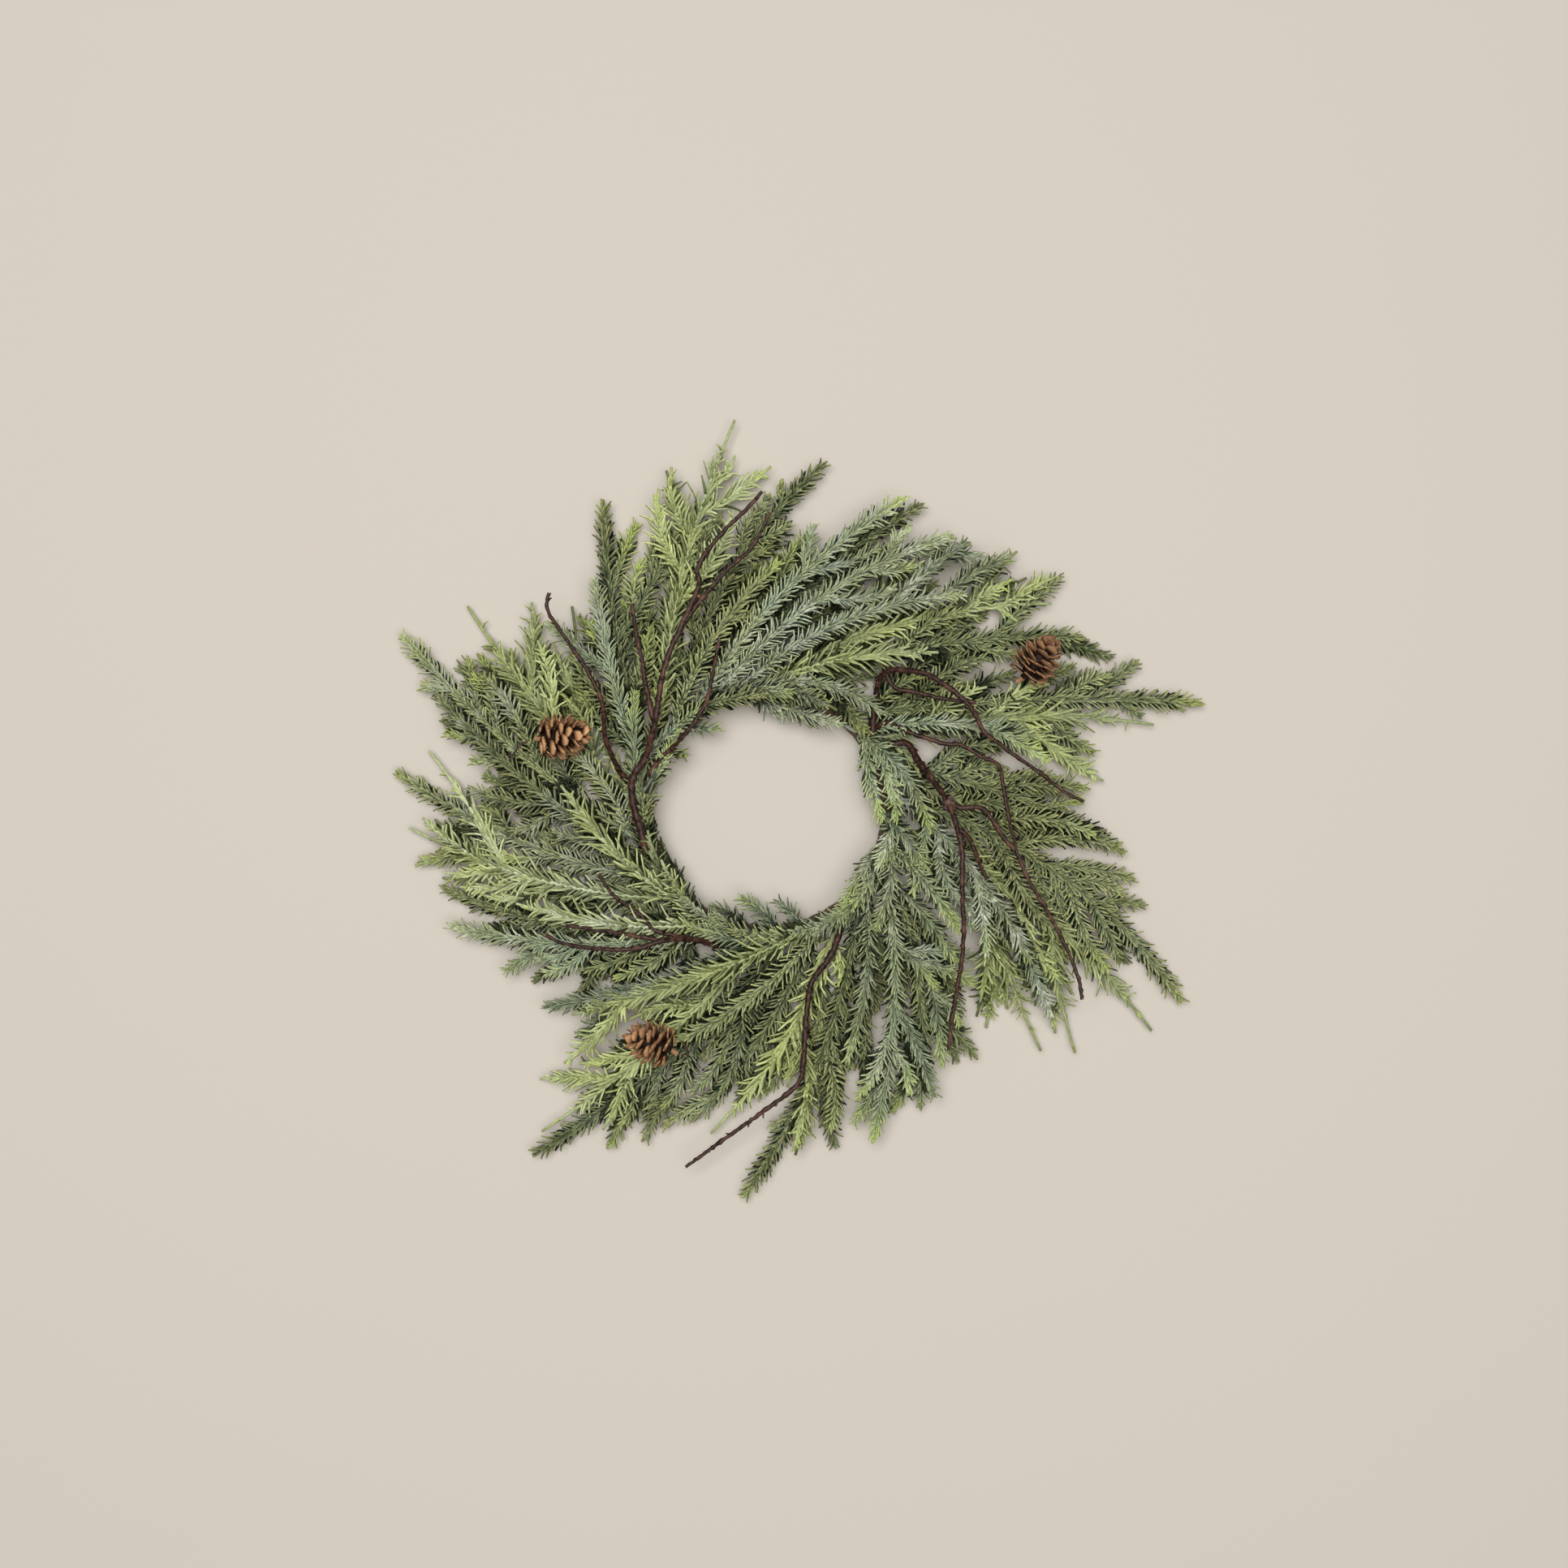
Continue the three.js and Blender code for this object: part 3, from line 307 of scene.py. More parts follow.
class Stem:
    # A line of points with radii, read by the length along it
    def __init__(self, points, radii, level):
        self.points = points
        self.radii = radii
        self.level = level
        self.marks = [0.0]
        for a, b in zip(points, points[1:]):
            self.marks.append(self.marks[-1] + (b - a).length)
        self.total = self.marks[-1]

    def at(self, s):
        s = min(max(s, 0.0), self.total)
        i = 1
        while i < len(self.marks) - 1 and self.marks[i] < s:
            i += 1
        t = (s - self.marks[i - 1]) / (self.marks[i] - self.marks[i - 1])
        point = self.points[i - 1].lerp(self.points[i], t)
        return point, self.radii[i - 1] + (self.radii[i] - self.radii[i - 1]) * t

    def frame(self, s):
        point, radius = self.at(s)
        tangent = (self.at(s + tangentReach * mm)[0] - self.at(s - tangentReach * mm)[0]).normalized()
        side = tangent.cross(up).normalized()
        return point, radius, tangent, side, side.cross(tangent)


def bowedPlan(start, tip, bow):
    dx, dy = tip[0] - start[0], tip[1] - start[1]
    offset = math.tan(math.radians(bow)) / 2
    control = ((start[0] + tip[0]) / 2 - dy * offset, (start[1] + tip[1]) / 2 + dx * offset)
    count = max(4, round(math.hypot(dx, dy) / branching["step"]))
    plan = []
    for i in range(count + 1):
        t = i / count
        w = ((1 - t) ** 2, 2 * t * (1 - t), t * t)
        plan.append(tuple(w[0] * a + w[1] * b + w[2] * c for a, b, c in zip(start, control, tip)))
    return plan


def seatPoint(degrees, seatName, radius, tip):
    angle = math.radians(degrees)
    wall = ring["radius"] + seats[seatName]
    heading = math.atan2(tip[1] - wall * math.sin(angle), tip[0] - wall * math.cos(angle))
    outward = radius * abs(math.sin(heading - angle)) + seatGap if seatName == "outer" else 0.0
    return ((wall + outward) * math.cos(angle), (wall + outward) * math.sin(angle))


def headingAt(plan, i):
    a, b = plan[max(0, i - 1)], plan[min(len(plan) - 1, i + 1)]
    return math.atan2(b[1] - a[1], b[0] - a[0])


def turnTo(start, tip, heading):
    # How far the way from a place to a tip turns off a heading
    turn = math.atan2(tip[1] - start[1], tip[0] - start[0]) - heading
    return abs(math.atan2(math.sin(turn), math.cos(turn)))


def forkIndex(plan, tip):
    # The point of a stem from which a side tip is reached at about the fork angle
    best, bestError = 0, math.inf
    for i in range(math.ceil(len(plan) * branching["forkFrom"]), math.ceil(len(plan) * branching["forkTo"])):
        error = abs(turnTo(plan[i], tip, headingAt(plan, i)) - math.radians(branching["forkAngle"]))
        if error < bestError:
            best, bestError = i, error
    return best


def sprayNode(number):
    return f"{sprays[number][0]}_spray_{number + 1:02d}"


def treeOf(nodeName):
    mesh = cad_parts[nodeName].data
    return BVHTree.FromPolygons([v.co for v in mesh.vertices], [p.vertices for p in mesh.polygons])


def tapered(count, radiusFrom, radiusTo):
    return [(radiusFrom + (radiusTo - radiusFrom) * i / (count - 1)) * mm for i in range(count)]


def drape(tree, plan, radiusFrom, radiusTo, level=0):
    # Takes a stem's heights from the solid that it replaces, and evens them out
    radii = tapered(len(plan), radiusFrom, radiusTo)
    heights = []
    for (x, y), radius in zip(plan, radii):
        hit = tree.ray_cast(atPlan(x, y, rayStart), -up)[0]
        heights.append(hit.z - radius if hit else None)
    known = [i for i, z in enumerate(heights) if z is not None]
    for i, z in enumerate(heights):
        if z is None:
            heights[i] = heights[min(known, key=lambda k: abs(k - i))]
    windows = [sorted(heights[max(0, i - 2):i + 3]) for i in range(len(heights))]
    even = [window[len(window) // 2] for window in windows]
    last = len(even) - 1
    for _ in range(2):
        even = [(even[max(0, i - 1)] + 2 * z + even[min(last, i + 1)]) / 4 for i, z in enumerate(even)]
    return Stem([atPlan(x, y, z) for (x, y), z in zip(plan, even)], radii, level)


def sprayStems(number):
    kindName, degrees, seatName, bow, tip, sideTips = sprays[number][:6]
    kind = foliage[kindName]
    tree = treeOf(sprayNode(number))
    mainPlan = bowedPlan(seatPoint(degrees, seatName, kind["stemRoot"], tip), tip, bow)
    stems = [drape(tree, mainPlan, kind["stemRoot"], kind["stemTip"])]
    for sideTip in sideTips:
        start = mainPlan[forkIndex(mainPlan, sideTip)]
        cross = (tip[0] - start[0]) * (sideTip[1] - start[1]) - (tip[1] - start[1]) * (sideTip[0] - start[0])
        sidePlan = bowedPlan(start, sideTip, math.copysign(branching["sideBow"], cross))
        stems.append(drape(tree, sidePlan, kind["sideRoot"], kind["stemTip"], 1))
    return stems


def betweenKnots(a, b, c, d, t):
    square, cube = 2 * a - 5 * b + 4 * c - d, 3 * b - a - 3 * c + d
    return 0.5 * (2 * b + (c - a) * t + square * t * t + cube * t ** 3)


def threadedPlan(knots):
    # A smooth line through all knots, which may have two or three values each
    ends = [tuple(2 * a - b for a, b in zip(knots[0], knots[1]))] + knots
    ends.append(tuple(2 * a - b for a, b in zip(knots[-1], knots[-2])))
    plan = []
    for stretch in zip(ends, ends[1:], ends[2:], ends[3:]):
        for step in range(twigLook["knotSteps"]):
            t = step / twigLook["knotSteps"]
            plan.append(tuple(betweenKnots(*values, t) for values in zip(*stretch)))
    return plan + [knots[-1]]


def twigStems(number):
    degrees, radius, seatName, knots, forks = twigs[number]
    tree = treeOf(f"twig_{number + 1}")
    mainPlan = threadedPlan([seatPoint(degrees, seatName, radius, knots[0])] + knots)
    stems = [drape(tree, mainPlan, radius, twigLook["tip"])]
    for knotIndex, *points in forks:
        start = (knotIndex + 1) * twigLook["knotSteps"]
        rootRadius = min(stems[0].radii[start] / mm, radius * twigLook["forkShare"])
        stems.append(drape(tree, threadedPlan([mainPlan[start]] + points), rootRadius, twigLook["tip"], 1))
    return stems


def extraStem():
    line = threadedPlan(thinStem["knots"])
    radii = tapered(len(line), thinStem["radius"], twigLook["tip"])
    return Stem([atPlan(x, y, z * mm) for x, y, z in line], radii, 1)


def cellOf(x, y):
    return (round(x / branching["cell"]), round(y / branching["cell"]))


def cellsUnder(plan, reach):
    found = set()
    steps = int(reach / branching["cell"])
    for x, y in plan:
        middleX, middleY = cellOf(x, y)
        for i in range(-steps, steps + 1):
            for j in range(-steps, steps + 1):
                if math.hypot(i, j) * branching["cell"] <= reach:
                    found.add((middleX + i, middleY + j))
    return found


class Growth:
    # What has been laid: how often each cell is covered, the heights of the stems that pass
    # there, and the lowest twig or cone above it
    def __init__(self):
        self.cover = {}
        self.heights = {}
        self.roof = {}

    def lay(self, stem, bare=2):
        # The bare points at the root cover no ground
        plan = [toPlan(p) for p in stem.points]
        for cell in cellsUnder(plan[bare:], branching["halfWidth"]):
            self.cover[cell] = self.cover.get(cell, 0) + 1
        for point, (x, y) in zip(stem.points, plan):
            self.heights.setdefault(cellOf(x, y), []).append(point.z / mm)

    def keepUnder(self, point, depth, reach):
        for cell in cellsUnder([toPlan(point)], reach):
            self.roof[cell] = min(self.roof.get(cell, branching["openSky"]), point.z / mm - depth)

    def bareShare(self, plan, target):
        cells = cellsUnder(plan, branching["halfWidth"])
        return sum(self.cover.get(c, 0) < target for c in cells) / len(cells)

    def around(self, point):
        # The heights of the stems in the cells round a place
        i, j = cellOf(*toPlan(point))
        return [h for di in (-1, 0, 1) for dj in (-1, 0, 1) for h in self.heights.get((i + di, j + dj), ())]

    def shaded(self, stem):
        # The share of a stem that runs below others
        under = sum(any(h > p.z / mm + needling["shadedBelow"] for h in self.around(p)) for p in stem.points)
        return under / len(stem.points)

    def above(self, point):
        # How far the highest stem near a place lies above it, in millimetres
        return max(self.around(point), default=0.0) - point.z / mm

    def crowding(self, points):
        # The share of a line where another stem is too near, or a twig or a cone lies below it
        touched = 0
        for point in points:
            z = point.z / mm
            if z > self.roof.get(cellOf(*toPlan(point)), branching["openSky"]):
                return 1.0
            touched += any(abs(h - z) < branching["clear"] for h in self.around(point))
        return touched / len(points)


def insideHole(x, y):
    # How far inside the visible edge of the hole a place is
    return along(holeEdge, math.degrees(math.atan2(y, x)) % 360) - math.hypot(x, y)


def mayGrow(plan, near):
    # Within the outline that the long stems give, and clear of the candle and of the open gaps
    lane = along(branching["lane"], math.hypot(*plan[-1]))
    middleLane = lane * branching["middleLane"]
    if near.find((*plan[-1], 0))[2] > lane or near.find((*plan[len(plan) // 2], 0))[2] > middleLane:
        return False
    for x, y in plan[1:]:
        if insideHole(x, y) > branching["holeMargin"]:
            return False
        if any(math.hypot(x - px, y - py) < reach + branching["keepOut"] for px, py, reach in openPlaces):
            return False
    return True


def sprigRadius(kind, t):
    return (kind["sideRoot"] * branching["slimmer"] * (1 - t) + kind["stemTip"] * t) * mm


def sprigFrom(stem, s, plan, kind, lift):
    # A side sprig that starts on its parent and rises or sinks to a level of its own
    point, radius = stem.at(s * mm)
    ahead = stem.at((s + len(plan) * branching["step"] * 0.8) * mm)[0].z
    points, radii = [], []
    for i, (x, y) in enumerate(plan):
        t = i / (len(plan) - 1)
        rise = min(1.0, t / branching["riseShare"])
        z = point.z + (ahead - point.z) * t + lift * mm * rise * rise * (3 - 2 * rise)
        points.append(atPlan(x, y, min(max(z, branching["lowest"] * mm), branching["ceiling"] * mm)))
        radii.append(min(radius, sprigRadius(kind, t)))
    return Stem(points, radii, stem.level + 1)


def settledSprig(growth, stem, s, plan, kind, allowed):
    # The sprig at the first level that is free, or else at the least crowded one
    best, bestCrowding = None, allowed + 0.001
    highest = branching["steepest"] * branching["step"] * len(plan)
    for lift in branching["lifts"]:
        if abs(lift) > highest:
            continue
        made = sprigFrom(stem, s, plan, kind, lift)
        crowding = growth.crowding(made.points[len(plan) // 4:])
        if crowding < bestCrowding:
            best, bestCrowding = made, crowding
        if crowding <= branching["crowded"]:
            break
    if best:
        growth.lay(best)
    return best


def sideSprigs(stem, kind, near, growth, target, wanted, rng):
    found = []
    total = stem.total / mm
    spread = branching["angleSpread"]
    s = rng.uniform(*branching["firstStart"])
    while s < total - branching["lastStart"]:
        for side in (-1, 1):
            point, _, tangent, _, _ = stem.frame(s * mm)
            start = toPlan(point)
            turn = math.radians(branching["angle"] + rng.uniform(-spread, spread)) * side
            heading = math.atan2(tangent.y, tangent.x) + turn
            length = min(branching["longest"], max(branching["shortest"], (total - s) * branching["share"]))
            length *= rng.uniform(*branching["lengthSpread"])
            bow = side * rng.uniform(*branching["bow"])
            for shrink in branching["shrinks"]:
                reach = length * shrink
                tip = (start[0] + reach * math.cos(heading), start[1] + reach * math.sin(heading))
                plan = bowedPlan(start, tip, bow)
                if not mayGrow(plan, near) or growth.bareShare(plan[2:], target) < wanted:
                    continue
                made = settledSprig(growth, stem, s, plan, kind, branching["crowded"])
                if made:
                    found.append(made)
                    break
        s += branching["every"]
    return found


def parentsFor(x, y, stemsOfSpray):
    # The best place of each stem for a sprig that reaches this tip, with the best stem first
    found = []
    for number, stems in enumerate(stemsOfSpray):
        for stem in stems:
            costs = []
            for i in range(3, len(stem.points) - 2):
                start = toPlan(stem.points[i])
                tangent = stem.points[i + 1] - stem.points[i - 1]
                turn = math.degrees(turnTo(start, (x, y), math.atan2(tangent.y, tangent.x)))
                away = math.hypot(x - start[0], y - start[1])
                cost = abs(turn - reaching["turn"]) / reaching["turnSpread"]
                cost += abs(away - reaching["length"]) / reaching["lengthSpread"]
                costs.append((cost, stem.marks[i] / mm))
            if costs and min(costs)[0] < reaching["worst"]:
                found.append((*min(costs), number, stem))
    return sorted(found, key=lambda entry: entry[0])


def collarSprig(growth, stem, kind, rng):
    # A sprig that leaves near the root and follows the ring clockwise, over the tape
    root = stem.at(collar["start"] * mm)[0]
    start = toPlan(root)
    angle = math.atan2(start[1], start[0])
    radius = math.hypot(*start)
    length = rng.uniform(*collar["length"])
    end = along(holeEdge, math.degrees(angle - length / radius) % 360) + rng.uniform(*collar["overHole"])
    plan = []
    for i in range(collar["points"]):
        t = i / (collar["points"] - 1)
        away = radius + (end - radius) * math.sin(t * math.pi / 2)
        turned = angle - t * length / radius
        plan.append((away * math.cos(turned), away * math.sin(turned)))
    height = collar["height"] + rng.uniform(0, collar["spread"])
    made = sprigFrom(stem, collar["start"], plan, kind, max(0.0, height - root.z / mm))
    growth.lay(made)
    return made


def holeSprig(kind, start, tip):
    plan = bowedPlan(start, tip, holeBow)
    points, radii = [], []
    for i, (x, y) in enumerate(plan):
        t = i / (len(plan) - 1)
        points.append(atPlan(x, y, (holeRise[0] + (holeRise[1] - holeRise[0]) * t) * mm))
        radii.append(sprigRadius(kind, t))
    return Stem(points, radii, 1)


def placing(x, y, z, origin, sizeX=1.0, sizeY=1.0, sizeZ=1.0):
    # A matrix from three axes, the origin and a size along each axis
    rows = [[x[k] * sizeX, y[k] * sizeY, z[k] * sizeZ, origin[k]] for k in range(3)]
    return Matrix(rows + [[0, 0, 0, 1]])


def layeredMesh(layerNames):
    bm = bmesh.new()
    for name in layerNames:
        bm.verts.layers.float.new(name)
    return bm


def keptMesh(bm, name):
    # A mesh from a bmesh, which it frees
    mesh = bpy.data.meshes.new(name)
    bm.to_mesh(mesh)
    bm.free()
    return mesh


def mark(bm, verts, **values):
    # Gives all these points the same values
    for name, value in values.items():
        layer = bm.verts.layers.float[name]
        for v in verts:
            v[layer] = value


def aimed(origin, direction):
    return Matrix.Translation(origin) @ direction.to_track_quat("Z", "Y").to_matrix().to_4x4()


def sweepTube(stem, sides, spacing, layerNames, wobble=None, **values):
    # A stem as a closed tube in its own bmesh, swept by extruding a ring of edges along it
    tube = layeredMesh(layerNames)
    count = max(2, round(stem.total / spacing))
    place = None
    for i in range(count + 1):
        point, radius, tangent, side, over = stem.frame(stem.total * i / count)
        if wobble:
            point, radius = wobble(point, radius, side, over, i / count)
        matrix = placing(side, over, tangent, point, radius, radius)
        if i == 0:
            bmesh.ops.create_circle(tube, cap_ends=True, segments=sides, radius=1.0, matrix=matrix)
            edges = list(tube.edges)
        else:
            grown = bmesh.ops.extrude_edge_only(tube, edges=edges)["geom"]
            verts = [g for g in grown if isinstance(g, bmesh.types.BMVert)]
            edges = [g for g in grown if isinstance(g, bmesh.types.BMEdge)]
            bmesh.ops.transform(tube, matrix=matrix @ place.inverted(), verts=verts)
        place = matrix
    bmesh.ops.contextual_create(tube, geom=edges)
    bmesh.ops.recalc_face_normals(tube, faces=tube.faces)
    mark(tube, tube.verts, **values)
    return tube


def pour(bm, part):
    # Adds one bmesh to another and frees it
    mesh = keptMesh(part, "part")
    bm.from_mesh(mesh)
    bpy.data.meshes.remove(mesh)


# The needles' blades: half width at the root, at the waist and at the tip, where the waist is, where
# the blade starts, how much it leans to one side, and its length, as shares of a needle
blades = {
    "spruce": [(0.42, 0.56, 0.32, 0.62, 0, 0, 1)],
    "cedar": [(0.50, 0.46, 0.28, 0.5, 0, 0, 1), (0.44, 0.42, 0.26, None, 0.22, 1.3, 0.48),
              (0.40, 0.40, 0.26, None, 0.48, -1.2, 0.38)],
    "frosted": [(0.42, 0.56, 0.32, 0.62, 0, 0, 1), (0.38, 0.40, 0.28, None, 0.3, 1.9, 0.42)],
}

# How the needles stand on a stem. Close, tip and leader values are for the last needles. Depth is
# how far under other stems a needle begins to be painted darker as shade, and over how much that
# painted shade gets as deep as it goes; the deepest painted shade is how dark it gets at most.
needling = {
    "stemSides": 5, "stemStep": 6, "stemTone": 0.7, "stemShade": 0.6, "stemEdge": 0.35,
    "bareRoot": (6.0, 2.5), "firstGap": 0.55, "atTip": -0.5,
    "shift": 0.13, "turn": 12, "overTip": 0.4, "size": (0.74, 1.12), "sink": 0.5, "fork": 0.35,
    "ridgeEdge": 0.25,
    "closing": 9, "closer": 0.62, "shorter": 0.25, "rootSize": 0.6, "rootRun": 20,
    "tipSize": (0.84, 0.16), "tipRun": 18,
    "leaderFrom": 60, "shortLeader": 0.3, "leaderGap": 0.72, "leaderSize": 0.3, "leaderRun": 28,
    "leaderNeedle": (2.5, 4.5), "sparseRun": 50, "sparseGap": 0.3, "sparseFrom": 15,
    "table": (2.2, 3.0), "nearTable": 6, "holeFringe": 3.5,
    "shadedBelow": 2.0, "shadedShare": 0.6, "depth": (0.7, 5.5), "depthReach": 0.6, "deepestPaintedShade": 0.92,
    "tones": (0.35, 1.0), "stemTones": 0.5, "ownTones": 0.45, "ageSpread": (-0.4, 0.3),
    "wholeAge": 0.3, "tipAge": (0.28, 0.72, 0.85), "ageRun": 22,
}


def addBlade(bm, root, waist, tip, waistAt, start, lean, length):
    # A blunt three-sided blade along +Z, with two edges below and one ridge on top
    turn = Matrix.Translation((0, 0, start)) @ Matrix.Rotation(lean, 4, "Y")
    place = turn @ Matrix.Translation((0, 0, length / 2))
    verts = bmesh.ops.create_cone(bm, cap_ends=True, segments=3, radius1=root, radius2=tip, depth=length,
                                  matrix=place)["verts"]
    if not waistAt:
        return
    geom = verts + list(dict.fromkeys(part for v in verts for part in (*v.link_edges, *v.link_faces)))
    centre = turn @ Vector((0, 0, waistAt * length))
    cutting = bmesh.ops.bisect_plane(bm, geom=geom, plane_co=centre, plane_no=turn.to_3x3() @ up)
    for v in cutting["geom_cut"]:
        if isinstance(v, bmesh.types.BMVert):
            offset = v.co - centre
            v.co = centre + offset * (waist / offset.length)


def needleMesh(kindName, bend):
    bm = layeredMesh(("reach", "edge"))
    fork = math.copysign(needling["fork"], bend)
    for root, waist, tip, waistAt, start, lean, length in blades[kindName]:
        addBlade(bm, root, waist, tip, waistAt, start, fork * lean, length)
    for v in bm.verts:
        mark(bm, [v], reach=v.co.z, edge=needling["ridgeEdge"] if v.co.y > 0 else 1.0)
        v.co.y += bend * v.co.z * v.co.z
    bmesh.ops.recalc_face_normals(bm, faces=bm.faces)
    return keptMesh(bm, f"{kindName}Needle")


def addCopy(bm, mesh, matrix, **values):
    # Adds a mesh in its place, marked with these values
    start = len(bm.verts)
    bm.from_mesh(mesh)
    bm.verts.ensure_lookup_table()
    added = bm.verts[start:]
    for v in added:
        v.co = matrix @ v.co
    mark(bm, added, **values)


def needleSize(length, near, fromRoot, left, bareTip, rng):
    # The last needles are shorter, those at the root too, and few stubs stand on a leader
    size = length * (1 - needling["shorter"] * near)
    size *= min(1, needling["rootSize"] + fromRoot / needling["rootRun"])
    size *= rng.uniform(*needling["size"])
    if not bareTip:
        atTip, more = needling["tipSize"]
        return size * (atTip + more * min(1, left / needling["tipRun"]))
    size *= min(1, needling["leaderSize"] + max(0, left - bareTip) / needling["leaderRun"])
    return max(size, rng.uniform(*needling["leaderNeedle"]))


def isLeftOut(left, bareTip, light, opener, rng):
    # The gaps near a stem's tip
    if left < max(needling["atTip"], needling["firstGap"] * bareTip):
        return True
    if left < bareTip and rng.random() < needling["leaderGap"]:
        return True
    isSparse = bareTip > needling["sparseFrom"] and left < needling["sparseRun"]
    if isSparse and rng.random() < needling["sparseGap"]:
        return True
    return light < 0.5 and left < opener


def isInTheWay(root, tip, overHole, guarded, rng):
    # Over the hole, over the tape that stays bare, or in a cone
    x, y = toPlan(tip)
    if not overHole and insideHole(x, y) > rng.uniform(0, needling["holeFringe"]):
        return True
    if math.hypot(x - bareTape[0], y - bareTape[1]) < bareTape[2]:
        return True
    return any(inCone(root, c) or inCone(tip, c) for c in guarded)


def dressStem(bm, stem, kind, needles, bareTip, young, shade, rng):
    total = stem.total / mm
    pitch = kind["pitch"]
    bareRoot = needling["bareRoot"][min(stem.level, 1)]
    tone = rng.uniform(*needling["tones"])
    # The stem's tube is painted darker as shade by the share of it that runs below other stems
    sprig = sweepTube(stem, needling["stemSides"], needling["stemStep"] * mm, foliageLayers,
                      tone=needling["stemTone"] - needling["stemShade"] * shade, edge=needling["stemEdge"])
    fresh = min(1.0, max(0.0, young + rng.uniform(*needling["ageSpread"])))
    wholeAge, (tipAge, freshAge, ageMost) = needling["wholeAge"], needling["tipAge"]
    overHole = any(insideHole(*toPlan(p)) > 1 for p in stem.points)
    guard = coneGuard["near"] * mm
    guarded = [c for c in cones if any((p - c["centre"]).length < guard for p in stem.points)]
    wide, thick = kind["width"] * mm, kind["thickness"] * mm
    s = bareRoot
    while s < total + needling["overTip"]:
        for degrees, lean, length, shift, light in kind["rows"]:
            place = s + (shift + rng.uniform(-needling["shift"], needling["shift"])) * pitch
            left = total - place
            if isLeftOut(left, bareTip, light, kind["opener"], rng):
                continue
            point, radius, tangent, side, over = stem.frame(place * mm)
            near = max(0.0, 1 - left / needling["closing"])   # the last needles close over the tip
            angle = math.radians(degrees + rng.uniform(-needling["turn"], needling["turn"]))
            tilt = (lean + rng.uniform(-1, 1) * kind["ragged"]) * (1 - needling["closer"] * near)
            tilt = math.radians(tilt)
            outward = side * math.cos(angle) + over * math.sin(angle)
            direction = tangent * math.cos(tilt) + outward * math.sin(tilt)
            size = needleSize(length, near, place - bareRoot, left, bareTip, rng)
            root = point + outward * radius * needling["sink"]
            tip = root + direction * size * mm
            if tip.z < needling["table"][0] * mm:
                tip.z = rng.uniform(*needling["table"]) * mm
                direction = (tip - root).normalized()
            if isInTheWay(root, tip, overHole, guarded, rng):
                continue
            flat = direction.cross(outward)
            if flat.length < 1e-4:
                flat = direction.cross(over)
            flat.normalize()
            ridge = direction.cross(flat)
            if ridge.dot(over) < 0:
                flat, ridge = -flat, -ridge
            # Painted shade: a needle is painted darker the deeper it lies under other stems, and so is every
            # needle of a stem that runs below others and of the dark lower rows
            above = growth.above(root + direction * size * needling["depthReach"] * mm)
            depth = min(1.0, max(0.0, (above - needling["depth"][0]) / needling["depth"][1]))
            needleTone = light * (needling["stemTones"] * tone + needling["ownTones"] * rng.random())
            needleTone *= 1 - needling["deepestPaintedShade"] * max(needling["shadedShare"] * shade, depth)
            youngTip = max(0.0, 1 - left / needling["ageRun"])
            age = fresh * wholeAge + (tipAge + freshAge * fresh) * ageMost * youngTip
            # Near the table the needles bend upwards
            needle = needles[-1] if tip.z < needling["nearTable"] * mm else rng.choice(needles)
            matrix = placing(flat, ridge, direction, root, wide, thick, size * mm)
            addCopy(sprig, needle, matrix, tone=needleTone, age=age)
        s += pitch
    pour(bm, sprig)


def shown(name, data):
    # A new object in the scene, of a mesh, a lamp or a camera
    made = bpy.data.objects.new(name, data)
    bpy.context.scene.collection.objects.link(made)
    return made


def finishPiece(bm, nodeName, material, bloom=None, crease=None):
    # The object that replaces a node of the frame, named like it in camel case
    first, *others = nodeName.split("_")
    name = first + "".join(word.capitalize() for word in others)
    mesh = keptMesh(bm, name)
    mesh.shade_smooth()
    if crease:
        mesh.set_sharp_from_angle(angle=math.radians(crease))
    mesh.materials.append(material)
    if bloom is not None:
        values = [bloom] * len(mesh.vertices)
        mesh.attributes.new("bloom", "FLOAT", "POINT").data.foreach_set("value", values)
    piece = shown(name, mesh)
    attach(piece, "root")
    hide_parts(nodeName)
    return piece


class Value:
    # A socket that adds Math nodes when it is used in an expression
    def __init__(self, finish, socket):
        self.finish = finish
        self.socket = socket

    def math(self, operation, *others, clamp=False):
        settings = {"operation": operation, "use_clamp": clamp}
        return self.finish.node("ShaderNodeMath", settings, dict(enumerate((self, *others))))

    def __add__(self, other):
        return self.math("ADD", other)

    __radd__ = __add__

    def __sub__(self, other):
        return self.math("SUBTRACT", other)

    def __rsub__(self, other):
        return self.math("MULTIPLY", -1.0).math("ADD", other)

    def __mul__(self, other):
        return self.math("MULTIPLY", other)

    __rmul__ = __mul__

    def clamped(self):
        return self.math("ADD", 0.0, clamp=True)

    def smooth(self, low, high):
        sockets = {"Value": self, "From Min": low, "From Max": high}
        return self.finish.node("ShaderNodeMapRange", {"interpolation_type": "SMOOTHSTEP"}, sockets)


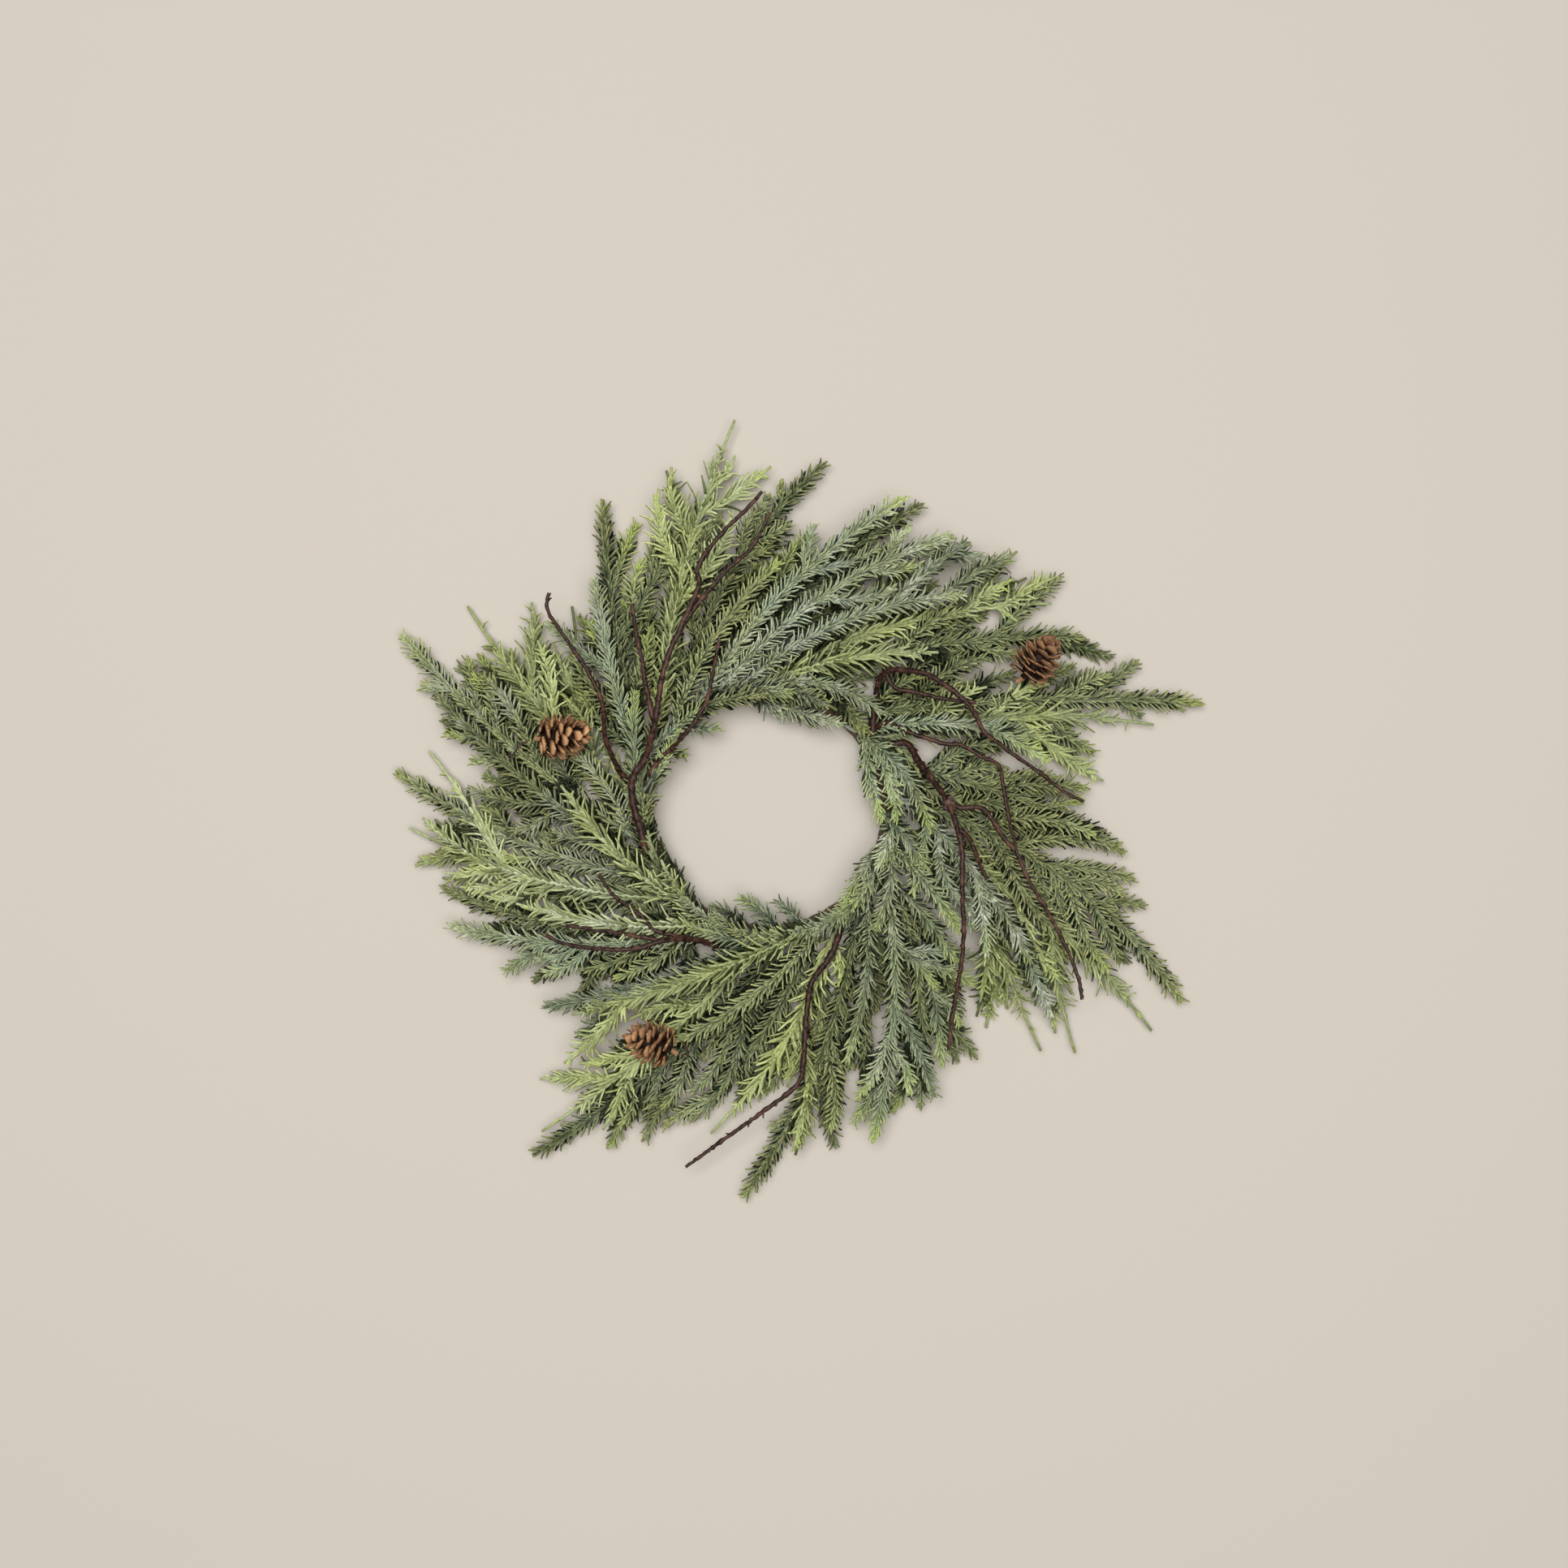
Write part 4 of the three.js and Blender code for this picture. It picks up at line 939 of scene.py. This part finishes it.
class Finish:
    # One procedural material round a Principled shader
    def __init__(self, name, **constants):
        self.material = bpy.data.materials.new(name)
        self.material.use_nodes = True
        self.tree = self.material.node_tree
        self.shader = self.tree.nodes["Principled BSDF"]
        for socket, value in constants.items():
            self.shader.inputs[socket.replace("_", " ")].default_value = value

    def node(self, kind, settings=None, sockets=None, output=0):
        made = self.tree.nodes.new(kind)
        for key, value in (settings or {}).items():
            setattr(made, key, value)
        for key, value in (sockets or {}).items():
            if isinstance(value, Value):
                self.tree.links.new(value.socket, made.inputs[key])
            elif isinstance(value, tuple) and len(value) == 3 and made.inputs[key].type == "RGBA":
                made.inputs[key].default_value = (*value, 1.0)
            else:
                made.inputs[key].default_value = value
        return Value(self, made.outputs[output])

    def attributes(self, *names):
        return [self.node("ShaderNodeAttribute", {"attribute_name": name}, output="Fac") for name in names]

    def place(self):
        return self.node("ShaderNodeTexCoord", output="Object")

    def noise(self, scale, detail=3.0, roughness=0.55):
        sockets = {"Vector": self.place(), "Scale": scale, "Detail": detail, "Roughness": roughness}
        return self.node("ShaderNodeTexNoise", {}, sockets)

    def mix(self, factor, a, b, blend="MIX"):
        # The colour sockets of a Mix node are its seventh and eighth, and the colour its third output
        settings = {"data_type": "RGBA", "blend_type": blend}
        return self.node("ShaderNodeMix", settings, {0: factor, 6: a, 7: b}, output=2)

    def link(self, value, socket):
        self.tree.links.new(value.socket, self.shader.inputs[socket])

    def surface(self, colour, roughness, height, distance, strength):
        self.link(colour, "Base Color")
        self.link(roughness.clamped(), "Roughness")
        sockets = {"Height": height, "Distance": distance, "Strength": strength}
        self.link(self.node("ShaderNodeBump", {}, sockets), "Normal")
        return self.material


youngGreen = (0.46, 0.57, 0.14)


def foliageFinish(kindName):
    # Dark along the ridges and pale yellow-green on the painted edges and tips, with a pale bloom
    # on the stems and the roots of the needles. The tone carries each needle's own tone together with
    # the painted shade of the lower rows and of stems under others, which dims all of these as well.
    kind = foliage[kindName]
    finish = Finish(kindName + "Needles", Specular_IOR_Level=0.12)
    reach, edge, tone, age, bloom = finish.attributes("reach", "edge", "tone", "age", "bloom")
    mottle = finish.noise(450.0)
    patch = finish.noise(45.0, 2.0)
    body = finish.mix((tone * (0.8 + mottle * 0.6)).clamped(), kind["dark"], kind["light"])
    tint = finish.mix(finish.noise(28.0, 2.0).smooth(0.35, 0.65), kind["cool"], kind["warm"])
    body = finish.mix(1.0, body, tint, "MULTIPLY")
    paint = (edge * 0.57 + reach.smooth(0.4, 1.0) * (0.3 + 0.4 * age) + mottle * 0.5 - 0.4) * (tone * 1.35)
    colour = finish.mix(paint.clamped(), body, kind["edge"])
    young = age.smooth(0.1, 0.75) * (0.35 + 0.65 * reach.smooth(0.1, 0.8)) * (tone * 1.1 + 0.1)
    colour = finish.mix((young * 0.85).clamped(), colour, youngGreen)
    pale = (1 - reach.smooth(0.0, 0.9)) * 0.45 + patch.smooth(0.4, 0.65) * 0.5 + mottle * 1.3 - 0.8
    colour = finish.mix((pale * bloom * (tone * 1.75)).clamped(), colour, kind["frost"])
    return finish.surface(colour, 0.55 + mottle * 0.3, finish.noise(1500.0, 2.0), 0.0002, 0.5)


# Foliage: the stems are read from the frame, and sprigs fill the ground between them in rounds
stemsOfSpray = [sprayStems(i) for i in range(len(sprays))]
stemsOfTwig = [twigStems(i) for i in range(len(twigs))]
stemsOfTwig[thinStem["twig"]].append(extraStem())
longStems = sum(stemsOfSpray, [])
planPoints = [toPlan(p) for stem in longStems for p in stem.points]
near = KDTree(len(planPoints))
for i, (x, y) in enumerate(planPoints):
    near.insert((x, y, 0), i)
near.balance()
growth = Growth()
for stem in longStems:
    growth.lay(stem, 3)
for stem in sum(stemsOfTwig, []):
    for p in stem.points[under["twigStart"]:]:
        growth.keepUnder(p, *under["twig"])
for cone in cones:
    growth.keepUnder(cone["centre"], *under["cone"])

kindOfSpray = [foliage[spray[0]] for spray in sprays]
sprigsOfSpray = [[] for _ in sprays]
collarStarts = [toPlan(stems[0].at(collar["start"] * mm)[0]) for stems in stemsOfSpray]
rootAngles = [math.degrees(math.atan2(y, x)) for x, y in collarStarts]
collars = [(i, seeds["collars"] + i) for i, spray in enumerate(sprays) if spray[2] != "outer"]
for n, degrees in enumerate(extraCollars):
    number = min(range(len(sprays)), key=lambda i: abs((rootAngles[i] - degrees + 180) % 360 - 180))
    collars.append((number, seeds["extraCollars"] + n))
for number, seed in collars:
    made = collarSprig(growth, stemsOfSpray[number][0], kindOfSpray[number], random.Random(seed))
    sprigsOfSpray[number].append(made)
for number, start, tip in holeSprigs:
    sprigsOfSpray[number].append(holeSprig(kindOfSpray[number], start, tip))
    growth.lay(sprigsOfSpray[number][-1])
for x, y, *wantedKind in shortTips:
    for _, place, number, stem in parentsFor(x, y, stemsOfSpray):
        if wantedKind and sprays[number][0] not in wantedKind:
            continue
        plan = bowedPlan(toPlan(stem.at(place * mm)[0]), (x, y), reaching["bow"])
        made = settledSprig(growth, stem, place, plan, kindOfSpray[number], branching["tipCrowded"])
        if made:
            sprigsOfSpray[number].append(made)
            break
for target, wanted in branching["rounds"]:
    for i, sprigs in enumerate(sprigsOfSpray):
        rng = random.Random(seeds["rounds"] * target + i)
        longSprigs = [made for made in sprigs if made.total > branching["parentLength"] * mm]
        for stem in stemsOfSpray[i] + longSprigs:
            sprigs += sideSprigs(stem, kindOfSpray[i], near, growth, target, wanted, rng)
print("stems read from the frame:", len(longStems), "sprigs added:", len(sum(sprigsOfSpray, [])))

needleMeshes = {name: [needleMesh(name, bend) for bend in kind["bends"]] for name, kind in foliage.items()}
finishes = {name: foliageFinish(name) for name in foliage}
triangles = 0
for i, (kindName, _, seatName, _, _, _, young, bloom) in enumerate(sprays):
    rng = random.Random(seeds["needles"] + i)
    kind = foliage[kindName]
    bm = layeredMesh(foliageLayers)
    for stem in stemsOfSpray[i] + sprigsOfSpray[i]:
        isLeader = stem.total > needling["leaderFrom"] * mm and seatName == "outer"
        bareTip = kind["bareTip"] * (1.0 if isLeader else needling["shortLeader"])
        dressStem(bm, stem, kind, needleMeshes[kindName], bareTip, young, growth.shaded(stem), rng)
    triangles += sum(len(f.verts) - 2 for f in bm.faces)
    finishPiece(bm, sprayNode(i), finishes[kindName], bloom)
print("sprays grown:", len(sprays), "triangles:", triangles)
for mesh in sum(needleMeshes.values(), []):
    bpy.data.meshes.remove(mesh)


# The ring: a flat-bottomed section spun round the middle, with the edges of the wound tape
tapeLook = {"dark": (0.075, 0.044, 0.030), "light": (0.21, 0.130, 0.088), "stain": (0.055, 0.036, 0.028)}


def tapedRing():
    bm = bmesh.new()
    radius, width, height = ring["radius"] + ring["trim"] / 2, ring["width"] - ring["trim"], ring["height"]
    section = Matrix.Translation((radius * mm, 0, height / 2 * mm)) @ Matrix.Rotation(math.pi / 2, 4, "X")
    made = bmesh.ops.create_circle(bm, segments=ring["sides"], radius=1.0)["verts"]
    for v in made:
        # A rounded box from a circle
        v.co.x = math.copysign(abs(v.co.x) ** ring["squareAcross"], v.co.x) * width / 2 * mm
        v.co.y = math.copysign(abs(v.co.y) ** ring["squareUp"], v.co.y) * height / 2 * mm
    bmesh.ops.transform(bm, matrix=section, verts=made)
    bmesh.ops.spin(bm, geom=list(bm.verts) + list(bm.edges), cent=(0, 0, 0), axis=(0, 0, 1),
                   angle=2 * math.pi, steps=ring["steps"], use_merge=True)
    bmesh.ops.remove_doubles(bm, verts=bm.verts, dist=1e-6)
    for v in bm.verts:
        turn = math.atan2(v.co.y, v.co.x)
        middle = Vector((math.cos(turn), math.sin(turn), 0)) * radius * mm + up * height / 2 * mm
        offset = v.co - middle
        roundSection = math.atan2(offset.z, v.co.length - middle.length) / (2 * math.pi)
        lap = (turn * ring["tapeTurns"] / (2 * math.pi) + roundSection) % 1.0
        v.co -= offset.normalized() * ring["ridge"] * mm * lap
        v.co.z = max(v.co.z, 0.0)
    bmesh.ops.recalc_face_normals(bm, faces=bm.faces)
    bmesh.ops.translate(bm, vec=(ringCentre.x, ringCentre.y, 0), verts=bm.verts)
    return bm


def tapeFinish():
    finish = Finish("floralTape", Specular_IOR_Level=0.25)
    fibre = finish.noise(900.0, 4.0)
    stain = finish.noise(60.0, 2.0)
    colour = finish.mix(fibre.smooth(0.3, 0.7), tapeLook["dark"], tapeLook["light"])
    colour = finish.mix(stain.smooth(0.4, 0.7) * 0.4, colour, tapeLook["stain"])
    return finish.surface(colour, 0.7 + fibre * 0.25, fibre, 0.0004, 0.6)


finishPiece(tapedRing(), "taped_ring", tapeFinish())
print("ring wound")

# The twigs: rough tubes with swollen knots, small buds, and one knotty burr
barkLook = {
    "dark": (0.009, 0.004, 0.003), "brown": (0.068, 0.027, 0.019), "scurf": (0.14, 0.062, 0.043),
    "knot": (0.20, 0.15, 0.145), "cut": (0.30, 0.21, 0.13),
}


def growTwig(number, stems):
    rng = random.Random(seeds["twigs"] + number)
    bm = layeredMesh(twigLayers)

    def wobble(point, r, side, over, t):
        push = 0.0
        if t > 0.02 and rng.random() < twigLook["knotChance"]:
            push = rng.uniform(0.6, 1.0)
        drift = twigLook["wander"] * mm * min(1, t * 8)
        moved = point + side * rng.uniform(-drift, drift) + over * rng.uniform(-drift * 0.3, drift * 0.6)
        rough = rng.uniform(-twigLook["rough"], twigLook["rough"])
        return moved, r * (1 + twigLook["knot"] * push + rough)

    for stem in stems:
        spacing = twigLook["spacing"] * mm
        tube = sweepTube(stem, twigLook["sides"], spacing, twigLayers, wobble, tone=rng.random())
        tube.verts.ensure_lookup_table()
        mark(tube, tube.verts[-twigLook["sides"]:], cut=1.0)
        pour(bm, tube)
        s = rng.uniform(*twigLook["firstBud"]) * mm
        while s < stem.total - twigLook["lastBud"] * mm:
            addBud(bm, stem, s, rng)
            s += twigLook["buds"] * rng.uniform(0.6, 1.5) * mm
    if number == twigLook["burrTwig"]:
        addBurr(bm, stems[1].points[0], rng)
    return bm


def addBud(bm, stem, s, rng):
    point, r, tangent, side, over = stem.frame(s)
    isAbove = rng.random() < twigLook["budsAbove"]
    angle = rng.uniform(0, math.pi) if isAbove else rng.uniform(math.pi, 2 * math.pi)
    outward = side * math.cos(angle) + over * math.sin(angle)
    direction = (outward + tangent * rng.uniform(*twigLook["budLean"])).normalized()
    reach = rng.uniform(*twigLook["budReach"]) * mm + r
    bud = layeredMesh(("knot",))
    root, tip = r * twigLook["budRoot"], r * rng.uniform(*twigLook["budTip"])
    bmesh.ops.create_cone(bud, cap_ends=True, segments=6, radius1=root, radius2=tip, depth=reach,
                          matrix=aimed(point + direction * reach / 2, direction))
    mark(bud, bud.verts, knot=1.0)
    pour(bm, bud)


def addBurr(bm, centre, rng):
    # The greyish knot where the long branch forks
    burr = layeredMesh(("knot",))
    bmesh.ops.create_icosphere(burr, subdivisions=3, radius=twigLook["burr"] * mm)
    for v in burr.verts:
        lumps = math.sin(v.co.x * 2600 + 1) + math.sin(v.co.y * 3100) + math.sin(v.co.z * 2900 + 2)
        v.co *= 1 + 0.09 * lumps + rng.uniform(-0.07, 0.07)
        v.co.z *= twigLook["burrFlat"]
    mark(burr, burr.verts, knot=1.6)
    bmesh.ops.scale(burr, vec=twigLook["burrSize"], verts=burr.verts)
    bmesh.ops.translate(burr, vec=centre, verts=burr.verts)
    pour(bm, burr)


def barkFinish():
    finish = Finish("twigBark", Specular_IOR_Level=0.3)
    knot, cut = finish.attributes("knot", "cut")
    grain = finish.noise(520.0, 4.0, 0.65)
    scurf = finish.noise(150.0, 3.0)
    colour = finish.mix(grain.smooth(0.35, 0.7), barkLook["dark"], barkLook["brown"])
    colour = finish.mix(scurf.smooth(0.5, 0.68) * 0.6, colour, barkLook["scurf"])
    colour = finish.mix((knot * grain.smooth(0.45, 0.75) * 0.7).clamped(), colour, barkLook["knot"])
    colour = finish.mix(cut.smooth(0.6, 1.0) * 0.8, colour, barkLook["cut"])
    return finish.surface(colour, 0.2 + grain * 0.4, grain + scurf, 0.0006, 0.8)


bark = barkFinish()
for number, stems in enumerate(stemsOfTwig):
    finishPiece(growTwig(number, stems), f"twig_{number + 1}", bark, crease=60)
print("twigs laid:", len(twigs))

# The cones: scales in a golden-angle spiral on a slim core, open at the base and closing upwards.
# Girth is how far out their tips lie, open how far they lean from square to the axis, and outline
# how wide a scale is from its root to its tip. Turn, lean, reach, roll and widths are how much the
# scales vary, and steepest is how far one may lean.
coneLook = {
    "scales": 48, "thickness": 0.07, "cup": 0.3, "curl": 0.12, "coreShare": 0.17, "span": (5.5, 13.0),
    "goldenAngle": 137.508, "turn": 0.15, "lean": 8, "steepest": 84, "reach": (0.94, 1.05), "roll": 0.3,
    "narrower": 0.35, "widths": (0.9, 1.1), "base": -0.43, "rise": 0.93,
    "girth": [(0.0, 0.76), (0.12, 0.94), (0.35, 1.0), (0.6, 0.93), (0.8, 0.74), (0.92, 0.50), (1.0, 0.22)],
    "open": [(0.0, -8), (0.2, 7), (0.55, 21), (0.8, 41), (1.0, 76)],
    "outline": [(0.0, 0.30), (0.25, 0.56), (0.5, 0.90), (0.7, 1.0), (0.84, 0.80), (0.94, 0.44), (1.0, 0.12)],
    # Root is the near-black painted shade at the scales' roots, between the overlapping scales
    "root": (0.015, 0.006, 0.003), "dark": (0.11, 0.050, 0.026), "pale": (0.72, 0.41, 0.21),
    "rim": (0.13, 0.058, 0.026), "paleRim": (0.42, 0.26, 0.16), "grain": (0.15, 0.070, 0.035),
}
coneLayers = ("reach", "rim", "tone")


def scaleMesh():
    # One scale along +Y from 0 to 1, with its back below: a rounded plate, hollow above
    bm = layeredMesh(("reach", "rim"))
    bmesh.ops.create_grid(bm, x_segments=4, y_segments=6, size=0.5)
    for v in bm.verts:
        x, t = v.co.x, 1 - (0.5 - v.co.y) ** 1.4
        mark(bm, [v], reach=t, rim=max(abs(x) * 2, (t - 0.5) * 2))
        height = coneLook["cup"] * x * x * t + coneLook["curl"] * t * t * t
        v.co = Vector((x * along(coneLook["outline"], t), t - 0.25 * x * x * t, height))
    bmesh.ops.recalc_face_normals(bm, faces=bm.faces)
    bmesh.ops.solidify(bm, geom=bm.faces, thickness=coneLook["thickness"])
    bmesh.ops.recalc_face_normals(bm, faces=bm.faces)
    return keptMesh(bm, "coneScale")


def growCone(cone, scale, rng):
    bm = layeredMesh(coneLayers)
    length, width = cone["length"] * mm, cone["width"] * mm
    core = coneLook["coreShare"] * width
    shortest, longest = (span * mm for span in coneLook["span"])
    for n in range(coneLook["scales"]):
        t = n / (coneLook["scales"] - 1)
        angle = n * math.radians(coneLook["goldenAngle"]) + rng.uniform(-coneLook["turn"], coneLook["turn"])
        tilt = along(coneLook["open"], t) + cone["closed"] * (1 - t)
        tilt += rng.uniform(-coneLook["lean"], coneLook["lean"])
        tilt = math.radians(min(coneLook["steepest"], tilt))
        outward = Vector((math.cos(angle), math.sin(angle), 0))
        direction = outward * math.cos(tilt) + up * math.sin(tilt)
        reach = width / 2 * along(coneLook["girth"], t) * rng.uniform(*coneLook["reach"])
        span = min(max((reach - core * (1 - 0.6 * t)) / math.cos(tilt), shortest), longest)
        root = outward * reach + up * (coneLook["base"] + coneLook["rise"] * t) * length - direction * span
        roll = Matrix.Rotation(rng.uniform(-coneLook["roll"], coneLook["roll"]), 3, direction)
        flat = roll @ direction.cross(up).normalized()
        wide = cone["scaleWidth"] * mm * (1 - coneLook["narrower"] * t) * rng.uniform(*coneLook["widths"])
        matrix = placing(flat, direction, flat.cross(direction), root, wide, span, wide)
        addCopy(bm, scale, matrix, tone=0.5 * rng.random() + cone["pale"])
    heart = bmesh.new()
    place = Matrix.Translation((0, 0, -0.02 * length)) @ Matrix.Diagonal((core, core, length * 0.42, 1))
    bmesh.ops.create_uvsphere(heart, u_segments=12, v_segments=9, radius=1.0, matrix=place)
    pour(bm, heart)
    base = -0.36 * length
    stub = [Vector((0, 0, base)), Vector((0.2 * mm, 0, base - 3 * mm)), Vector((1.0 * mm, 0, base - 5 * mm))]
    radii = [1.3 * mm, 1.1 * mm, 1.5 * mm]
    pour(bm, sweepTube(Stem(stub, radii, 0), 8, 1.2 * mm, coneLayers, tone=0.35, reach=1.0))
    bmesh.ops.transform(bm, matrix=aimed(cone["centre"], cone["axis"]), verts=bm.verts)
    return bm


def coneFinish():
    finish = Finish("coneScales", Specular_IOR_Level=0.2)
    reach, rim, tone = finish.attributes("reach", "rim", "tone")
    grain = finish.noise(650.0, 4.0, 0.6)
    warm = finish.mix(tone, coneLook["dark"], coneLook["pale"])
    # Painted shade: each scale goes near black towards its root, where the scales overlap
    colour = finish.mix((reach.smooth(0.35, 0.78) + grain * 0.3 - 0.15).clamped(), coneLook["root"], warm)
    colour = finish.mix(rim.smooth(0.7, 1.0) * grain.smooth(0.3, 0.6) * tone, colour, coneLook["rim"])
    colour = finish.mix((rim.smooth(0.75, 1.0) * (0.6 - tone * 1.2)).clamped(), colour, coneLook["paleRim"])
    colour = finish.mix(grain.smooth(0.5, 0.75) * 0.35, colour, coneLook["grain"])
    return finish.surface(colour, 0.45 + grain * 0.3, grain, 0.0004, 0.7)


scale = scaleMesh()
scaleFinish = coneFinish()
for n, cone in enumerate(cones):
    grown = growCone(cone, scale, random.Random(seeds["cones"] + n))
    finishPiece(grown, cone["node"], scaleFinish, crease=40)
bpy.data.meshes.remove(scale)
print("cones grown:", len(cones))

wireLook = {"trim": 0.2, "rounding": 2, "dark": (0.022, 0.014, 0.011), "light": (0.10, 0.058, 0.040)}


def wireFinish():
    finish = Finish("wrappedWire", Specular_IOR_Level=0.3)
    wrap = finish.noise(700.0, 3.0)
    colour = finish.mix(wrap.smooth(0.3, 0.7), wireLook["dark"], wireLook["light"])
    return finish.surface(colour, 0.6 + wrap * 0.3, wrap, 0.0004, 0.6)


wrapped = wireFinish()
for n in range(len(cones)):
    # The solid's own shape, merged, made slimmer and rounded
    wire = bmesh.new()
    wire.from_mesh(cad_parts[f"cone_wire_{n + 1}"].data)
    bmesh.ops.remove_doubles(wire, verts=wire.verts, dist=1e-6)
    bmesh.ops.dissolve_limit(wire, angle_limit=0.02, verts=wire.verts, edges=wire.edges)
    wire.normal_update()
    for v, normal in [(v, v.normal.copy()) for v in wire.verts]:
        v.co -= normal * wireLook["trim"] * mm
    piece = finishPiece(wire, f"cone_wire_{n + 1}", wrapped)
    rounding = piece.modifiers.new("rounding", "SUBSURF")
    rounding.levels = wireLook["rounding"]
    rounding.render_levels = wireLook["rounding"]
print("wires rounded")

# A plain studio: pale paper and two large soft lamps
stage = {"floor": (0.54, 0.505, 0.455), "size": 6.0, "world": (1.0, 0.94, 0.82, 1.0), "worldStrength": 0.17}
lamps = {
    "window": {"place": (-0.38, 0.48, 2.7), "size": 1.7, "power": 62.4, "colour": (1.0, 0.985, 0.962)},
    "fill": {"place": (0.55, -0.35, 2.8), "size": 2.0, "power": 35.4, "colour": (1.0, 0.972, 0.935)},
}
bm = bmesh.new()
bmesh.ops.create_grid(bm, x_segments=1, y_segments=1, size=stage["size"] / 2)
floor = shown("floor", keptMesh(bm, "floor"))
paper = Finish("paper", Roughness=0.9, Specular_IOR_Level=0.1)
shade = tuple(c * 0.97 for c in stage["floor"])
paper.link(paper.mix(paper.noise(3.0) * 0.2, stage["floor"], shade), "Base Color")
floor.data.materials.append(paper.material)

bpy.context.scene.view_settings.view_transform = "Standard"
world = bpy.data.worlds.new("studio")
bpy.context.scene.world = world
world.use_nodes = True
background = world.node_tree.nodes["Background"]
background.inputs["Color"].default_value = stage["world"]
background.inputs["Strength"].default_value = stage["worldStrength"]

for name, look in lamps.items():
    lamp = bpy.data.lights.new(name, "AREA")
    lamp.shape = "DISK"
    lamp.size = look["size"]
    lamp.energy = look["power"]
    lamp.color = look["colour"]
    lampObject = shown(name, lamp)
    lampObject.location = look["place"]
    lampObject.rotation_euler = (-Vector(look["place"])).to_track_quat("-Z", "Y").to_euler()

# The camera looks straight down, with the wreath a little left of and below the middle
view = {"shift": (8.4, 13.6), "height": 1.088, "lens": 50.0, "sensor": 36.0}
camera = bpy.data.cameras.new("camera")
camera.lens = view["lens"]
camera.sensor_width = view["sensor"]
cameraObject = shown("camera", camera)
cameraObject.location = atPlan(*view["shift"], view["height"])
bpy.context.scene.camera = cameraObject
